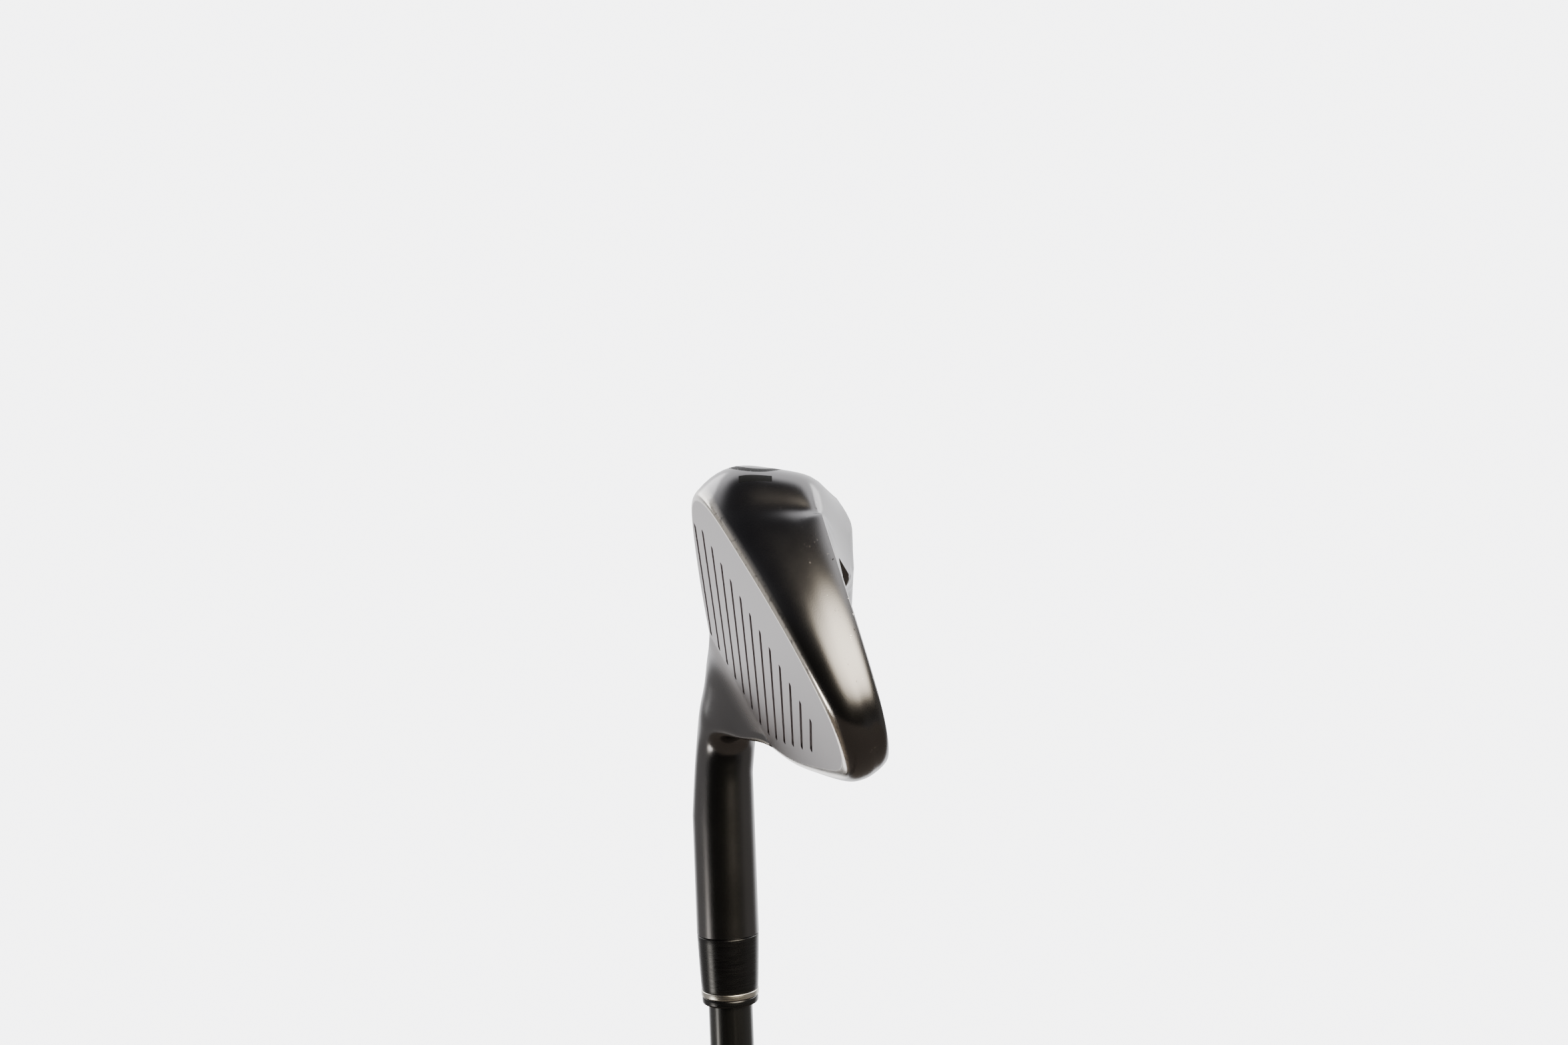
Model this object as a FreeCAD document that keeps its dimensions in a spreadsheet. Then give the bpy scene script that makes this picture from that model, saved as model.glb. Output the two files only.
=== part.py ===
import FreeCAD, Part
import math
import os

import Sketcher
from FreeCAD import Placement, Rotation, Vector

# Right-handed cavity-back 6-iron on a graphite shaft. Millimetres and degrees.
# Frame of the club: origin at the centre of the grip's butt end, +Z along the shaft towards the head,
# the face looks to -Y, the toe points to +X.
# Frame of the head: origin where the shaft axis meets the ground plane under the sole, x to the toe,
# y to the back, z to the ground, so a height above the ground is -z.

doc = FreeCAD.newDocument("IronGolfClub")

driving = [
    # overall
    ("clubLength", 952.5, "butt end to ground plane, along the shaft"),
    ("lieAngle", 62.0, "shaft to ground"),
    ("loftAngle", 26.0, "face to a plane through the shaft"),
    # blade outline, x from the shaft axis at the ground and f up the face from the ground
    ("bladeLength", 83.15, "shaft axis to toe"),
    ("faceLength", 61.0, "ground to topline, up the face, at the toe"),
    ("faceProgression", -2.9, "y of the face plane at the ground"),
    ("toeTopRadius", 9.5, "upper toe corner"),
    ("toeBulge", 1.7, "rise of the toe curve over its chord"),
    ("toplineWidth", 7.6, "front to back"),
    ("sideAngle", 14.0, "topline and toe band to the ground, front to back"),
    ("backAngle", 12.5, "back surface to a plane through the shaft"),
    # sole
    ("soleWidth", 27.5, "y of the trailing edge"),
    ("soleLow", 13.0, "y of the line that meets the ground"),
    ("leadingRise", 2.4, "leading edge over the sole"),
    ("trailingRise", 10.8, "trailing edge over the sole"),
    ("rockerRadius", 415.0, "sole curve from heel to toe"),
    ("rockerCentre", 36.0, "x of the lowest point"),
    ("soleCorner", 12.5, "rounding from sole to toe"),
    ("muscleLean", 0.3, "top of the muscle's back face ahead of the trailing edge"),
    ("muscleHeight", 17.0, "top of the muscle's back face over the ground"),
    ("shelfRise", 3.6, "slope from the muscle up to the blade's back"),
    ("shelfLedge", 0.8, "top of that slope to the floor of the cavity"),
    # hosel
    ("hoselWall", 1.83, "outside to bore, on the radius"),
    ("hoselStraight", 31.0, "ground to the end of the straight part, along the shaft"),
    ("hoselEnd", 63.5, "ground to the hosel's end, along the shaft"),
    ("boreDepth", 32.0, "blind bore from the hosel's end"),
    ("glueGap", 0.12, "epoxy between shaft tip and bore, on the radius"),
    # face plate and grooves
    ("plateThickness", 2.6, "face plate, also the wall in front of the cavity"),
    ("plateInset", 2.2, "blade outline to plate outline"),
    ("plateHeel", 9.5, "x of the plate's heel end"),
    ("plateRise", 0.8, "leading edge to the plate's lower edge"),
    ("grooveCount", 13, "score lines"),
    ("groovePitch", 3.68, "between score lines"),
    ("grooveWidth", 0.85, "at the face"),
    ("grooveDepth", 0.45, "below the face"),
    ("grooveFirst", 5.39, "lowest score line, up the face"),
    ("grooveFloor", 0.5, "width at the bottom, share of the width at the face"),
    ("grooveMargin", 4.6, "end of a score line to the topline, up the face"),
    ("grooveHeel", 11.2, "x of the heel ends"),
    ("grooveToe", 63.7, "x of the toe ends"),
    # cavity in the back
    ("frameWidth", 5.6, "perimeter frame round the cavity"),
    ("cavityHeel", 9.5, "x of the cavity's heel end"),
    ("undercutDepth", 11.0, "slot behind the face, square to the face"),
    ("undercutFloor", 9.0, "lowest point of the slot, up the face"),
    ("undercutHeel", 14.0, "x of the slot's heel end"),
    ("undercutToe", 58.0, "x of the slot's toe end"),
    ("undercutOverlap", 2.0, "slot into the cavity, up the face"),
    ("badgeThickness", 1.5, "badge plate"),
    ("badgeInset", 1.6, "cavity outline to badge outline"),
    ("padThickness", 1.2, "damping pad under the badge"),
    ("tapeThickness", 0.5, "adhesive under the pad"),
    # toe weight
    ("weightDiameter", 9.0, "tungsten plug"),
    ("weightDepth", 9.0, "plug length"),
    ("weightToe", 21.0, "toe to plug centre"),
    ("weightHeight", 10.2, "ground to plug centre"),
    # number on the sole
    ("numberHeight", 11.0, "numeral 6"),
    ("numberStroke", 1.4, "line width"),
    ("numberDepth", 0.5, "engraving"),
    ("numberTilt", 40.0, "round the toe corner from the ground"),
    ("numberFoot", 2.0, "foot of the numeral from there, towards the toe"),
    ("numberBack", 11.1, "y of the numeral's middle"),
    ("numberBar", 5.6, "bar under the numeral"),
    ("numberBarGap", 1.0, "numeral to bar"),
    ("numberBowl", 0.42, "radius of the numeral's bowl, share of its height"),
    ("numberSweep", 68.0, "turn of the numeral's stem"),
    ("numberReach", 8.0, "the numeral's prisms, over and under the sole"),
    # ferrule
    ("ferruleLength", 14.6, "all three pieces"),
    ("ferruleRingWidth", 1.2, "metal ring"),
    ("ferruleCollarWidth", 1.7, "last piece, rounded to the shaft"),
    ("ferruleStep", 0.5, "hosel's outside to the outside of ring and collar, on the radius"),
    ("ferruleRounding", 1.0, "collar rounding"),
    # shaft
    ("tipDiameter", 9.4, "0.370 in parallel tip"),
    ("tipWall", 1.9, "tube wall at the tip"),
    ("tipParallel", 130.0, "length of the parallel tip"),
    ("buttDiameter", 15.24, "0.600 in butt"),
    ("buttWall", 1.1, "tube wall at the butt"),
    ("plugLength", 22.0, "brass weight in the tip"),
    # grip
    ("gripLength", 267.0, "butt end to mouth, with the cap"),
    ("gripMouth", 19.6, "outside at the mouth"),
    ("gripButt", 26.4, "outside next to the cap"),
    ("gripUnderTape", 0.25, "tape between shaft and grip"),
    ("capThickness", 4.5, "end cap"),
    ("capDiameter", 27.4, "end cap"),
    ("capRounding", 1.4, "edges of the cap"),
    ("ventDiameter", 4.0, "hole through the cap"),
]

sheet = doc.addObject("Spreadsheet::Sheet", "Sizes")
for row, (alias, value, note) in enumerate(driving, start=1):
    sheet.set(f"A{row}", alias)
    sheet.set(f"B{row}", str(value))
    sheet.set(f"C{row}", note)
    sheet.setAlias(f"B{row}", alias)
doc.recompute()


def size(alias):
    return float(sheet.get(alias))


hoselReach = size("tipDiameter") / 2 + size("glueGap") + size("hoselWall")
lie = math.radians(size("lieAngle"))
loft = math.radians(size("loftAngle"))
side = math.radians(size("sideAngle"))
headPlacement = Placement(
    Vector(0, 0, size("clubLength")), Rotation(Vector(0, 1, 0), size("lieAngle") - 90)
)
upFace = Vector(0, math.sin(loft), -math.cos(loft))
intoFace = Vector(0, math.cos(loft), math.sin(loft))
toGrip = Vector(-math.cos(lie), 0, -math.sin(lie))


def feature(name, shape, placement=None):
    made = doc.addObject("Part::Feature", name)
    made.Shape = shape
    made.Placement = placement or headPlacement
    return made


def boolean(kind, name, **links):
    made = doc.addObject(f"Part::{kind}", name)
    for link, value in links.items():
        setattr(made, link, value)
    return made


# --- pieces turned about the shaft axis -------------------------------------------------------


def turned(label, corners):
    """A revolved body; corners are (radius, height) expressions, read from the sheet."""
    body = doc.addObject("PartDesign::Body", label + "_solid")
    body.Label = label
    sketch = body.newObject("Sketcher::SketchObject", label + "_profile")
    plane = [part for part in body.Origin.OriginFeatures if part.Role == "XZ_Plane"][0]
    sketch.AttachmentSupport = [(plane, "")]
    sketch.MapMode = "FlatFace"
    count = len(corners)
    turn = 2 * math.pi / count
    start = [Vector(50 + 9 * math.cos(k * turn), 9 * math.sin(k * turn), 0) for k in range(count)]
    for k in range(count):
        sketch.addGeometry(Part.LineSegment(start[k], start[(k + 1) % count]), False)
    for k in range(count):
        sketch.addConstraint(Sketcher.Constraint("Coincident", k, 2, (k + 1) % count, 1))
    for k, (radius, height) in enumerate(corners):
        for direction, expression in (("DistanceX", radius), ("DistanceY", height)):
            index = sketch.addConstraint(Sketcher.Constraint(direction, -1, 1, k, 1, 1.0 + k))
            sketch.setExpression(f"Constraints[{index}]", expression)
    revolution = body.newObject("PartDesign::Revolution", label + "_turning")
    revolution.Profile = sketch
    revolution.ReferenceAxis = (sketch, ["V_Axis"])
    revolution.Angle = 360.0
    body.Tip = revolution
    return body


def rounded(body, radius, height, rounding):
    """Rounds the circular edge of a turned body that has this radius and height."""
    doc.recompute()
    base = body.Tip
    names = []
    for index, edge in enumerate(base.Shape.Edges, start=1):
        box = edge.BoundBox
        if box.ZLength < 1e-4 and abs(box.ZMin - height) < 1e-3 and abs(box.XMax - radius) < 1e-2:
            names.append(f"Edge{index}")
    fillet = body.newObject("PartDesign::Fillet", body.Name + "_rounding")
    fillet.Base = (base, names)
    fillet.setExpression("Radius", rounding)
    body.Tip = fillet


hoselTop = "(Sizes.clubLength - Sizes.hoselEnd)"
tipEnd = "(Sizes.clubLength - Sizes.hoselEnd + Sizes.boreDepth)"
tipRadius = "Sizes.tipDiameter / 2"
hoselRadius = "(Sizes.tipDiameter / 2 + Sizes.glueGap + Sizes.hoselWall)"
buttRadius = "Sizes.buttDiameter / 2"
taperEnd = f"({tipEnd} - Sizes.tipParallel)"

shaft = turned(
    "shaft",
    [
        (tipRadius + " - Sizes.tipWall", tipEnd),
        (tipRadius, tipEnd),
        (tipRadius, taperEnd),
        (buttRadius, "Sizes.gripLength"),
        (buttRadius, "Sizes.capThickness"),
        (buttRadius + " - Sizes.buttWall", "Sizes.capThickness"),
        (buttRadius + " - Sizes.buttWall", "Sizes.gripLength"),
        (tipRadius + " - Sizes.tipWall", taperEnd),
    ],
)

hoselEpoxy = turned(
    "hosel_epoxy",
    [
        (tipRadius, tipEnd),
        (tipRadius + " + Sizes.glueGap", tipEnd),
        (tipRadius + " + Sizes.glueGap", hoselTop),
        (tipRadius, hoselTop),
    ],
)

collarStart = f"({hoselTop} - Sizes.ferruleLength + Sizes.ferruleCollarWidth)"
ringStart = f"({collarStart} + Sizes.ferruleRingWidth)"
ringRadius = "(" + hoselRadius + " - Sizes.ferruleStep)"

ferruleSleeve = turned(
    "ferrule_sleeve",
    [
        (tipRadius, hoselTop),
        (hoselRadius, hoselTop),
        (ringRadius, ringStart),
        (tipRadius, ringStart),
    ],
)
ferruleRing = turned(
    "ferrule_ring",
    [(tipRadius, ringStart), (ringRadius, ringStart), (ringRadius, collarStart), (tipRadius, collarStart)],
)
ferruleEnd = f"({hoselTop} - Sizes.ferruleLength)"
ferruleCollar = turned(
    "ferrule_collar",
    [(tipRadius, collarStart), (ringRadius, collarStart), (ringRadius, ferruleEnd), (tipRadius, ferruleEnd)],
)
rounded(
    ferruleCollar,
    hoselReach - size("ferruleStep"),
    size("clubLength") - size("hoselEnd") - size("ferruleLength"),
    "Sizes.ferruleRounding",
)

tapeRadius = buttRadius + " + Sizes.gripUnderTape"
gripTape = turned(
    "grip_tape",
    [
        (buttRadius, "Sizes.gripLength"),
        (buttRadius, "Sizes.capThickness"),
        (tapeRadius, "Sizes.capThickness"),
        (tapeRadius, "Sizes.gripLength"),
    ],
)
gripSleeve = turned(
    "grip_sleeve",
    [
        (tapeRadius, "Sizes.gripLength"),
        (tapeRadius, "Sizes.capThickness"),
        ("Sizes.gripButt / 2", "Sizes.capThickness"),
        ("Sizes.gripMouth / 2", "Sizes.gripLength"),
    ],
)
gripCap = turned(
    "grip_cap",
    [
        ("Sizes.ventDiameter / 2", "0"),
        ("Sizes.capDiameter / 2", "0"),
        ("Sizes.capDiameter / 2", "Sizes.capThickness"),
        ("Sizes.ventDiameter / 2", "Sizes.capThickness"),
    ],
)
rounded(gripCap, size("capDiameter") / 2, 0.0, "Sizes.capRounding")

tipWeight = doc.addObject("Part::Cylinder", "tip_weight_plug")
tipWeight.Label = "tip_weight"
tipWeight.setExpression("Radius", tipRadius + " - Sizes.tipWall")
tipWeight.setExpression("Height", "Sizes.plugLength")
tipWeight.setExpression("Placement.Base.z", f"{tipEnd} - Sizes.plugLength")

# --- outline of the blade, in the plane of the face -------------------------------------------


def onFace(x, f, depth=0.0):
    """A point of the head from its place on the face: x to the toe, f up the face."""
    origin = Vector(x, size("faceProgression"), 0)
    return origin + upFace * f + intoFace * depth


def flatSpline(points, first=None, last=None):
    curve = Part.BSplineCurve()
    vectors = [Vector(x, f, 0) for x, f in points]
    if first:
        curve.interpolate(vectors, InitialTangent=Vector(*first), FinalTangent=Vector(*last))
    else:
        curve.interpolate(vectors)
    return curve


def toplineCurve():
    toe, top = size("bladeLength"), size("faceLength")
    corner = size("toeTopRadius")
    drawnToe, drawnTop = 83.15, 60.7
    points = [(-2.6, 22.5), (2.0, 26.6), (18.3, 38.6), (39.5, 49.7), (57.8, 58.0), (66.0, 60.3)]
    stretched = [(x * toe / drawnToe, f * top / drawnTop) for x, f in points]
    end = (toe - size("toeBulge") - corner, top)
    return flatSpline(stretched + [end], (0.72, 0.7, 0), (1.0, 0.0, 0)), end


def outlineWire():
    """Closed outline of the blade from the hosel along the topline, toe, sole and heel."""
    toe = size("bladeLength")
    corner = size("toeTopRadius")
    bulge = size("toeBulge")
    topline, end = toplineCurve()
    side = end[0] + corner
    toeTop = Vector(side, end[1] - corner, 0)
    slant = corner * math.sqrt(0.5)
    cornerMiddle = Vector(end[0] + slant, end[1] - corner + slant, 0)
    low = Vector(side - 0.1, 19.0, 0)
    middle = Vector(toe, (toeTop.y + low.y) / 2, 0)
    toeLine = flatSpline([(toeTop.x, toeTop.y), (middle.x, middle.y), (low.x, low.y)])
    heelEnd = (-13.5, 15.0)
    lower = [
        (low.x, low.y),
        (toe - bulge - 1.7, 13.0),
        (toe - bulge - 6.2, 7.2),
        (toe - bulge - 15.0, 2.9),
        (0.6 * toe, -1.5),
        (0.25 * toe, -2.5),
        (-5.5, -0.5),
        (-12.5, 7.0),
        heelEnd,
    ]
    start = topline.value(topline.FirstParameter)
    edges = [
        topline.toShape(),
        Part.Arc(Vector(end[0], end[1], 0), cornerMiddle, toeTop).toShape(),
        toeLine.toShape(),
        flatSpline(lower).toShape(),
        Part.makeLine(Vector(*heelEnd, 0), start),
    ]
    return Part.Wire(edges)


def toFace(wire, depth=0.0):
    """Lays a wire drawn in x and f on the face, or this far behind it."""
    placed = wire.copy()
    normal = Vector(1, 0, 0).cross(upFace)
    base = onFace(0, 0, depth)
    matrix = FreeCAD.Matrix()
    matrix.A22, matrix.A32 = upFace.y, upFace.z
    matrix.A13, matrix.A23, matrix.A33 = normal.x, normal.y, normal.z
    matrix.A14, matrix.A24, matrix.A34 = base.x, base.y, base.z
    placed.Placement = Placement(matrix)
    return placed


def slab(wire, nearDepth, farDepth):
    """A plate with this outline, between two depths behind the face."""
    face = Part.Face(toFace(wire, nearDepth))
    return face.extrude(intoFace * (farDepth - nearDepth))


# --- sections of the blade, across x ----------------------------------------------------------


def smooth(t):
    t = max(0.0, min(1.0, t))
    return t * t * (3 - 2 * t)


def faceY(height):
    return size("faceProgression") + height * math.tan(loft)


def topHeight(x, topline, end):
    """Height of the topline's front edge over the ground at x."""
    if x >= end[0]:
        return end[1] * math.cos(loft)
    low, high = topline.FirstParameter, topline.LastParameter
    for _ in range(40):
        middle = (low + high) / 2
        if topline.value(middle).x < x:
            low = middle
        else:
            high = middle
    return topline.value(low).y * math.cos(loft)


def soleHeight(x):
    """Height of the sole's lowest line over the ground at x: rocker, then the toe corner."""
    radius, centre, corner = size("rockerRadius"), size("rockerCentre"), size("soleCorner")
    start = size("bladeLength") - corner
    rocker = radius - math.sqrt(radius**2 - (min(x, start) - centre) ** 2)
    if x <= start:
        return rocker
    return rocker + corner - math.sqrt(max(corner**2 - (x - start) ** 2, 0.0))


def bladeSection(x, topline, end):
    """Closed section of the blade at x, taller than the outline that trims it."""
    low = soleHeight(x)
    top = topHeight(x, topline, end)
    slope = math.tan(math.radians(size("backAngle")))
    crestY = faceY(top) + size("toplineWidth") * math.cos(side)
    crestHeight = top - size("toplineWidth") * math.sin(side)
    full = smooth((x + 12) / 28) * (1 - smooth((x - 60) / 22))

    def backY(height):
        return crestY - (crestHeight - height) * slope

    def bulged(height, y):
        return backY(height) + full * (y - backY(height))

    def at(y, height):
        return Vector(x, y, -height)

    above = top + 6
    width = size("soleWidth")
    edge = low + size("trailingRise")
    muscle = max(low + size("muscleHeight"), edge + 3)
    shelf = muscle + size("shelfRise")
    rear = (bulged(edge, width), edge)
    front = (faceY(low + size("leadingRise")), low + size("leadingRise"))
    span = rear[0] - front[0]
    sole = [
        rear,
        (rear[0] - 0.045 * span, low + 6.6),
        (rear[0] - 0.13 * span, low + 3.2),
        (rear[0] - 0.30 * span, low + 0.75),
        (rear[0] - 0.51 * span, low),
        (rear[0] - 0.78 * span, low + 0.2),
        (front[0] + 0.05 * span, low + 0.9),
        front,
    ]
    curve = Part.BSplineCurve()
    curve.interpolate([at(y, height) for y, height in sole])
    corners = [front, (faceY(above), above), (backY(above), above), (backY(shelf), shelf)]
    corners += [(bulged(muscle, width - size("muscleLean")), muscle), rear]
    edges = [Part.makeLine(at(*corners[k]), at(*corners[k + 1])) for k in range(len(corners) - 1)]
    return Part.Wire(edges + [curve.toShape()])


def bladeBlank():
    topline, end = toplineCurve()
    toe = size("bladeLength")
    stations = [-17.0, -9.0, -4.0, 1.0, 7.0, 15.0]
    stations += [share * toe for share in (0.28, 0.38, 0.48, 0.58, 0.66, 0.74, 0.80, 0.86)]
    stations += [toe - back for back in (8.5, 5.5, 3.0, 1.2, -2.0)]
    sections = [bladeSection(x, topline, end) for x in stations]
    return Part.makeLoft(sections, True, False)


def outlinePrism():
    """The outline carried from front to back at the side angle."""
    backwards = Vector(0, math.cos(side), math.sin(side))
    start = Part.Face(toFace(outlineWire()))
    start.translate(backwards * -6)
    return start.extrude(backwards * 60)


blade = feature("blade_sections", bladeBlank())
trim = feature("blade_outline", outlinePrism())
bladeTrimmed = boolean("Common", "blade_trimmed", Base=blade, Tool=trim)

# --- hosel ------------------------------------------------------------------------------------


def shaftCylinder(name, radius, start, length):
    """A cylinder on the shaft axis, from a distance over the ground towards the grip."""
    made = doc.addObject("Part::Cylinder", name)
    made.setExpression("Radius", radius)
    made.setExpression("Height", length)
    made.setExpression("Placement.Base.z", f"Sizes.clubLength - ({start}) - ({length})")
    return made


straight = "Sizes.hoselStraight"
hosel = shaftCylinder("hosel", hoselRadius, straight, "Sizes.hoselEnd - " + straight)


def heelBend():
    """Below its straight part the hosel swings back into the heel and ends rounded."""
    rings = []
    for share, back, width in (
        (1.0, 0.0, 1.0),
        (0.82, 0.25, 1.0),
        (0.64, 1.2, 1.0),
        (0.46, 2.7, 0.98),
        (0.30, 4.1, 0.90),
        (0.18, 5.0, 0.76),
        (0.10, 5.5, 0.54),
    ):
        centre = toGrip * size("hoselStraight") * share + Vector(0, back, 0)
        rings.append(Part.Wire(Part.Circle(centre, toGrip, hoselReach * width).toShape()))
    return Part.makeLoft(rings, True, False)


heel = feature("heel", heelBend())
blank = boolean("MultiFuse", "head_blank", Shapes=[bladeTrimmed, hosel, heel])
bore = shaftCylinder(
    "hosel_bore",
    tipRadius + " + Sizes.glueGap",
    "Sizes.hoselEnd - Sizes.boreDepth",
    "Sizes.boreDepth",
)

# --- what is cut out of the head, and what goes in ---------------------------------------------


def inset(distance, heel):
    """The blade's outline moved inwards, closed by a straight line at its heel end."""
    spots = []
    for edge in outline.Edges[:4]:
        count = max(4, round(edge.Length / 6))
        for k in range(count):
            at = edge.FirstParameter + (edge.LastParameter - edge.FirstParameter) * k / count
            along = edge.tangentAt(at)
            moved = edge.valueAt(at) + Vector(along.y, -along.x, 0) * distance
            if moved.x > heel:
                spots.append(moved)
    curve = Part.BSplineCurve()
    curve.interpolate(spots)
    return Part.Wire([curve.toShape(), Part.makeLine(spots[-1], spots[0])])


def aboveFace(f):
    """A large block higher up the face than f."""
    corners = [(-60, f), (160, f), (160, f + 120), (-60, f + 120)]
    wire = Part.makePolygon([Vector(x, y, 0) for x, y in corners + corners[:1]])
    return slab(wire, -60, 90)


outline = outlineWire()
proud = 0.1
through = 60.0
plate = size("plateThickness")
plateLow = (size("leadingRise") + size("plateRise")) / math.cos(loft)
plateShape = slab(inset(size("plateInset"), size("plateHeel")), 0.0, plate).common(aboveFace(plateLow))


def grooveEnds(number):
    """Heel and toe ends of a score line; the upper ones start where the topline leaves room."""
    f = size("grooveFirst") + number * size("groovePitch")
    topline, end = toplineCurve()
    heel = size("grooveHeel")
    while topHeight(heel, topline, end) / math.cos(loft) < f + size("grooveMargin"):
        heel += 0.25
    return f, heel


def groove(number):
    f, heel = grooveEnds(number)
    half, deep = size("grooveWidth") / 2, size("grooveDepth")
    narrow = half * size("grooveFloor")
    profile = [onFace(heel, f - half, -proud), onFace(heel, f + half, -proud)]
    profile += [onFace(heel, f + narrow, deep), onFace(heel, f - narrow, deep)]
    wire = Part.makePolygon(profile + profile[:1])
    return Part.Face(wire).extrude(Vector(size("grooveToe") - heel, 0, 0))


grooves = feature("grooves", Part.makeCompound([groove(k) for k in range(int(size("grooveCount")))]))
plateBlank = feature("plate_blank", plateShape)
facePlate = boolean("Cut", "face_plate", Base=plateBlank, Tool=grooves)

cavityFloor = size("muscleHeight") + size("shelfRise") + size("shelfLedge")
cavityLow = (cavityFloor + plate * math.sin(loft)) / math.cos(loft)
cavityWire = inset(size("frameWidth"), size("cavityHeel"))
overFloor = Part.makeBox(200, 200, 100, Vector(-50, -50, -100 - cavityFloor))
cavityShape = slab(cavityWire, plate, through).common(overFloor)
slotHeel, slotToe = size("undercutHeel"), size("undercutToe")
slotLow, slotTop = size("undercutFloor"), cavityLow + size("undercutOverlap")
slotCorners = [(slotHeel, slotLow), (slotToe, slotLow), (slotToe, slotTop), (slotHeel, slotTop)]
slotWire = Part.makePolygon([Vector(x, f, 0) for x, f in slotCorners + slotCorners[:1]])
undercutShape = slab(slotWire, plate, plate + size("undercutDepth"))

weightSpot = Vector(size("bladeLength") - size("weightToe"), 0, -size("weightHeight"))
weightFloor = size("soleWidth") - size("muscleLean") - size("weightDepth")


def weightCylinder(length):
    start = Vector(weightSpot.x, weightFloor, weightSpot.z)
    return Part.makeCylinder(size("weightDiameter") / 2, length, start, Vector(0, 1, 0))


# --- the head body, cut to take its pieces ------------------------------------------------------

cavity = feature("cavity", cavityShape.fuse(undercutShape))
platePocket = feature("plate_pocket", plateShape)
weightBore = feature("weight_bore", weightCylinder(through))
doc.recompute()


def stroke(corners, arcs=()):
    """A flat wire in the plane of the sole, its straight runs between corners replaced by arcs."""
    edges = []
    for k in range(len(corners)):
        start, finish = corners[k], corners[(k + 1) % len(corners)]
        if k in arcs:
            edges.append(Part.Arc(start, arcs[k], finish).toShape())
        else:
            edges.append(Part.makeLine(start, finish))
    return Part.Wire(edges)


tilt = math.radians(size("numberTilt"))
numberOut = Vector(math.sin(tilt), 0, math.cos(tilt))
numberUp = Vector(-math.cos(tilt), 0, math.sin(tilt))


def numberPrism():
    """A 6 whose head points to the heel, and a bar under its foot, as prisms square to the toe corner."""
    tall, line = size("numberHeight"), size("numberStroke")
    bowl = size("numberBowl") * tall
    corner = size("soleCorner")
    hub = Vector(size("bladeLength") - corner, size("numberBack"), -soleHeight(size("bladeLength")))
    base = hub + numberOut * (corner + size("numberReach")) - numberUp * size("numberFoot")

    def at(right, up):
        return base + Vector(0, right, 0) + numberUp * up

    outer = Part.Wire(Part.Circle(at(0, bowl), numberOut, bowl).toShape())
    inner = Part.Wire(Part.Circle(at(0, bowl), numberOut, bowl - line).toShape())
    sweep = math.radians(size("numberSweep"))
    tail = (tall - bowl) / math.sin(sweep)

    def onTail(radius, angle):
        return at(tail - bowl - radius * math.cos(angle), bowl + radius * math.sin(angle))

    stem = stroke(
        [onTail(tail, 0), onTail(tail, sweep), onTail(tail - line, sweep), onTail(tail - line, 0)],
        {0: onTail(tail, sweep / 2), 2: onTail(tail - line, sweep / 2)},
    )
    half, drop = size("numberBar") / 2, size("numberBarGap")
    bar = stroke([at(-half, -drop), at(half, -drop), at(half, -drop - line), at(-half, -drop - line)])
    inwards = numberOut * (-2 * size("numberReach"))
    ring = Part.Face(outer).cut(Part.Face(inner)).extrude(inwards)
    six = ring.fuse(Part.Face(stem).extrude(inwards)).removeSplitter()
    return Part.makeCompound([six, Part.Face(bar).extrude(inwards)])


def engraving():
    """The layer of the sole, numberDepth deep, that the numeral takes out."""
    prism = numberPrism()
    prism.Placement = headPlacement
    raised = blank.Shape.copy()
    raised.translate(headPlacement.Rotation.multVec(numberOut * -size("numberDepth")))
    return prism.common(blank.Shape).cut(raised)


numberFill = feature("sole_number_fill", engraving(), Placement())
cutters = boolean("MultiFuse", "cutters", Shapes=[cavity, platePocket, weightBore, bore])
head = boolean("Cut", "head_cut", Base=blank, Tool=cutters)
headBody = boolean("Cut", "head_body", Base=head, Tool=numberFill)
toeWeight = boolean("Common", "toe_weight", Base=weightBore, Tool=blank)

# --- layers on the back of the face plate, in the cavity ----------------------------------------

badgeFrame = size("frameWidth") + size("badgeInset")
badgeHeel = size("cavityHeel") + size("badgeInset")
badgeWire = inset(badgeFrame, badgeHeel)
layers = size("tapeThickness") + size("padThickness") + size("badgeThickness")
badgeLow = cavityLow + layers * math.tan(loft) + size("badgeInset")
depth = plate
for label, thickness in (
    ("badge_tape", size("tapeThickness")),
    ("damping_pad", size("padThickness")),
    ("cavity_badge", size("badgeThickness")),
):
    layer = slab(badgeWire, depth, depth + thickness).common(aboveFace(badgeLow))
    feature(label, layer)
    depth += thickness

# --- check and write ----------------------------------------------------------------------------

nodes = [
    "head_body",
    "face_plate",
    "toe_weight",
    "badge_tape",
    "damping_pad",
    "cavity_badge",
    "sole_number_fill",
    "hosel_epoxy",
    "tip_weight",
    "ferrule_sleeve",
    "ferrule_ring",
    "ferrule_collar",
    "shaft",
    "grip_tape",
    "grip_sleeve",
    "grip_cap",
]

doc.recompute()
for item in doc.Objects:
    if "Invalid" in item.State or "Error" in item.State:
        raise RuntimeError(f"{item.Name}: {item.State}")
os.makedirs("parts", exist_ok=True)
for node in nodes:
    item = doc.getObjectsByLabel(node)[0]
    if item.Shape.isNull() or not item.Shape.isValid():
        raise RuntimeError(f"{node} has no valid shape")
for node in nodes:
    shape = doc.getObjectsByLabel(node)[0].Shape
    shape.exportStep(f"parts/{node}.step")
    print(f"{node}: {len(shape.Solids)} solid, {shape.Volume:.0f} mm3")
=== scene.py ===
import math

import bpy
import numpy as np
from mathutils import Matrix, Vector
from mathutils.bvhtree import BVHTree
from mathutils.geometry import delaunay_2d_cdt


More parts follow.
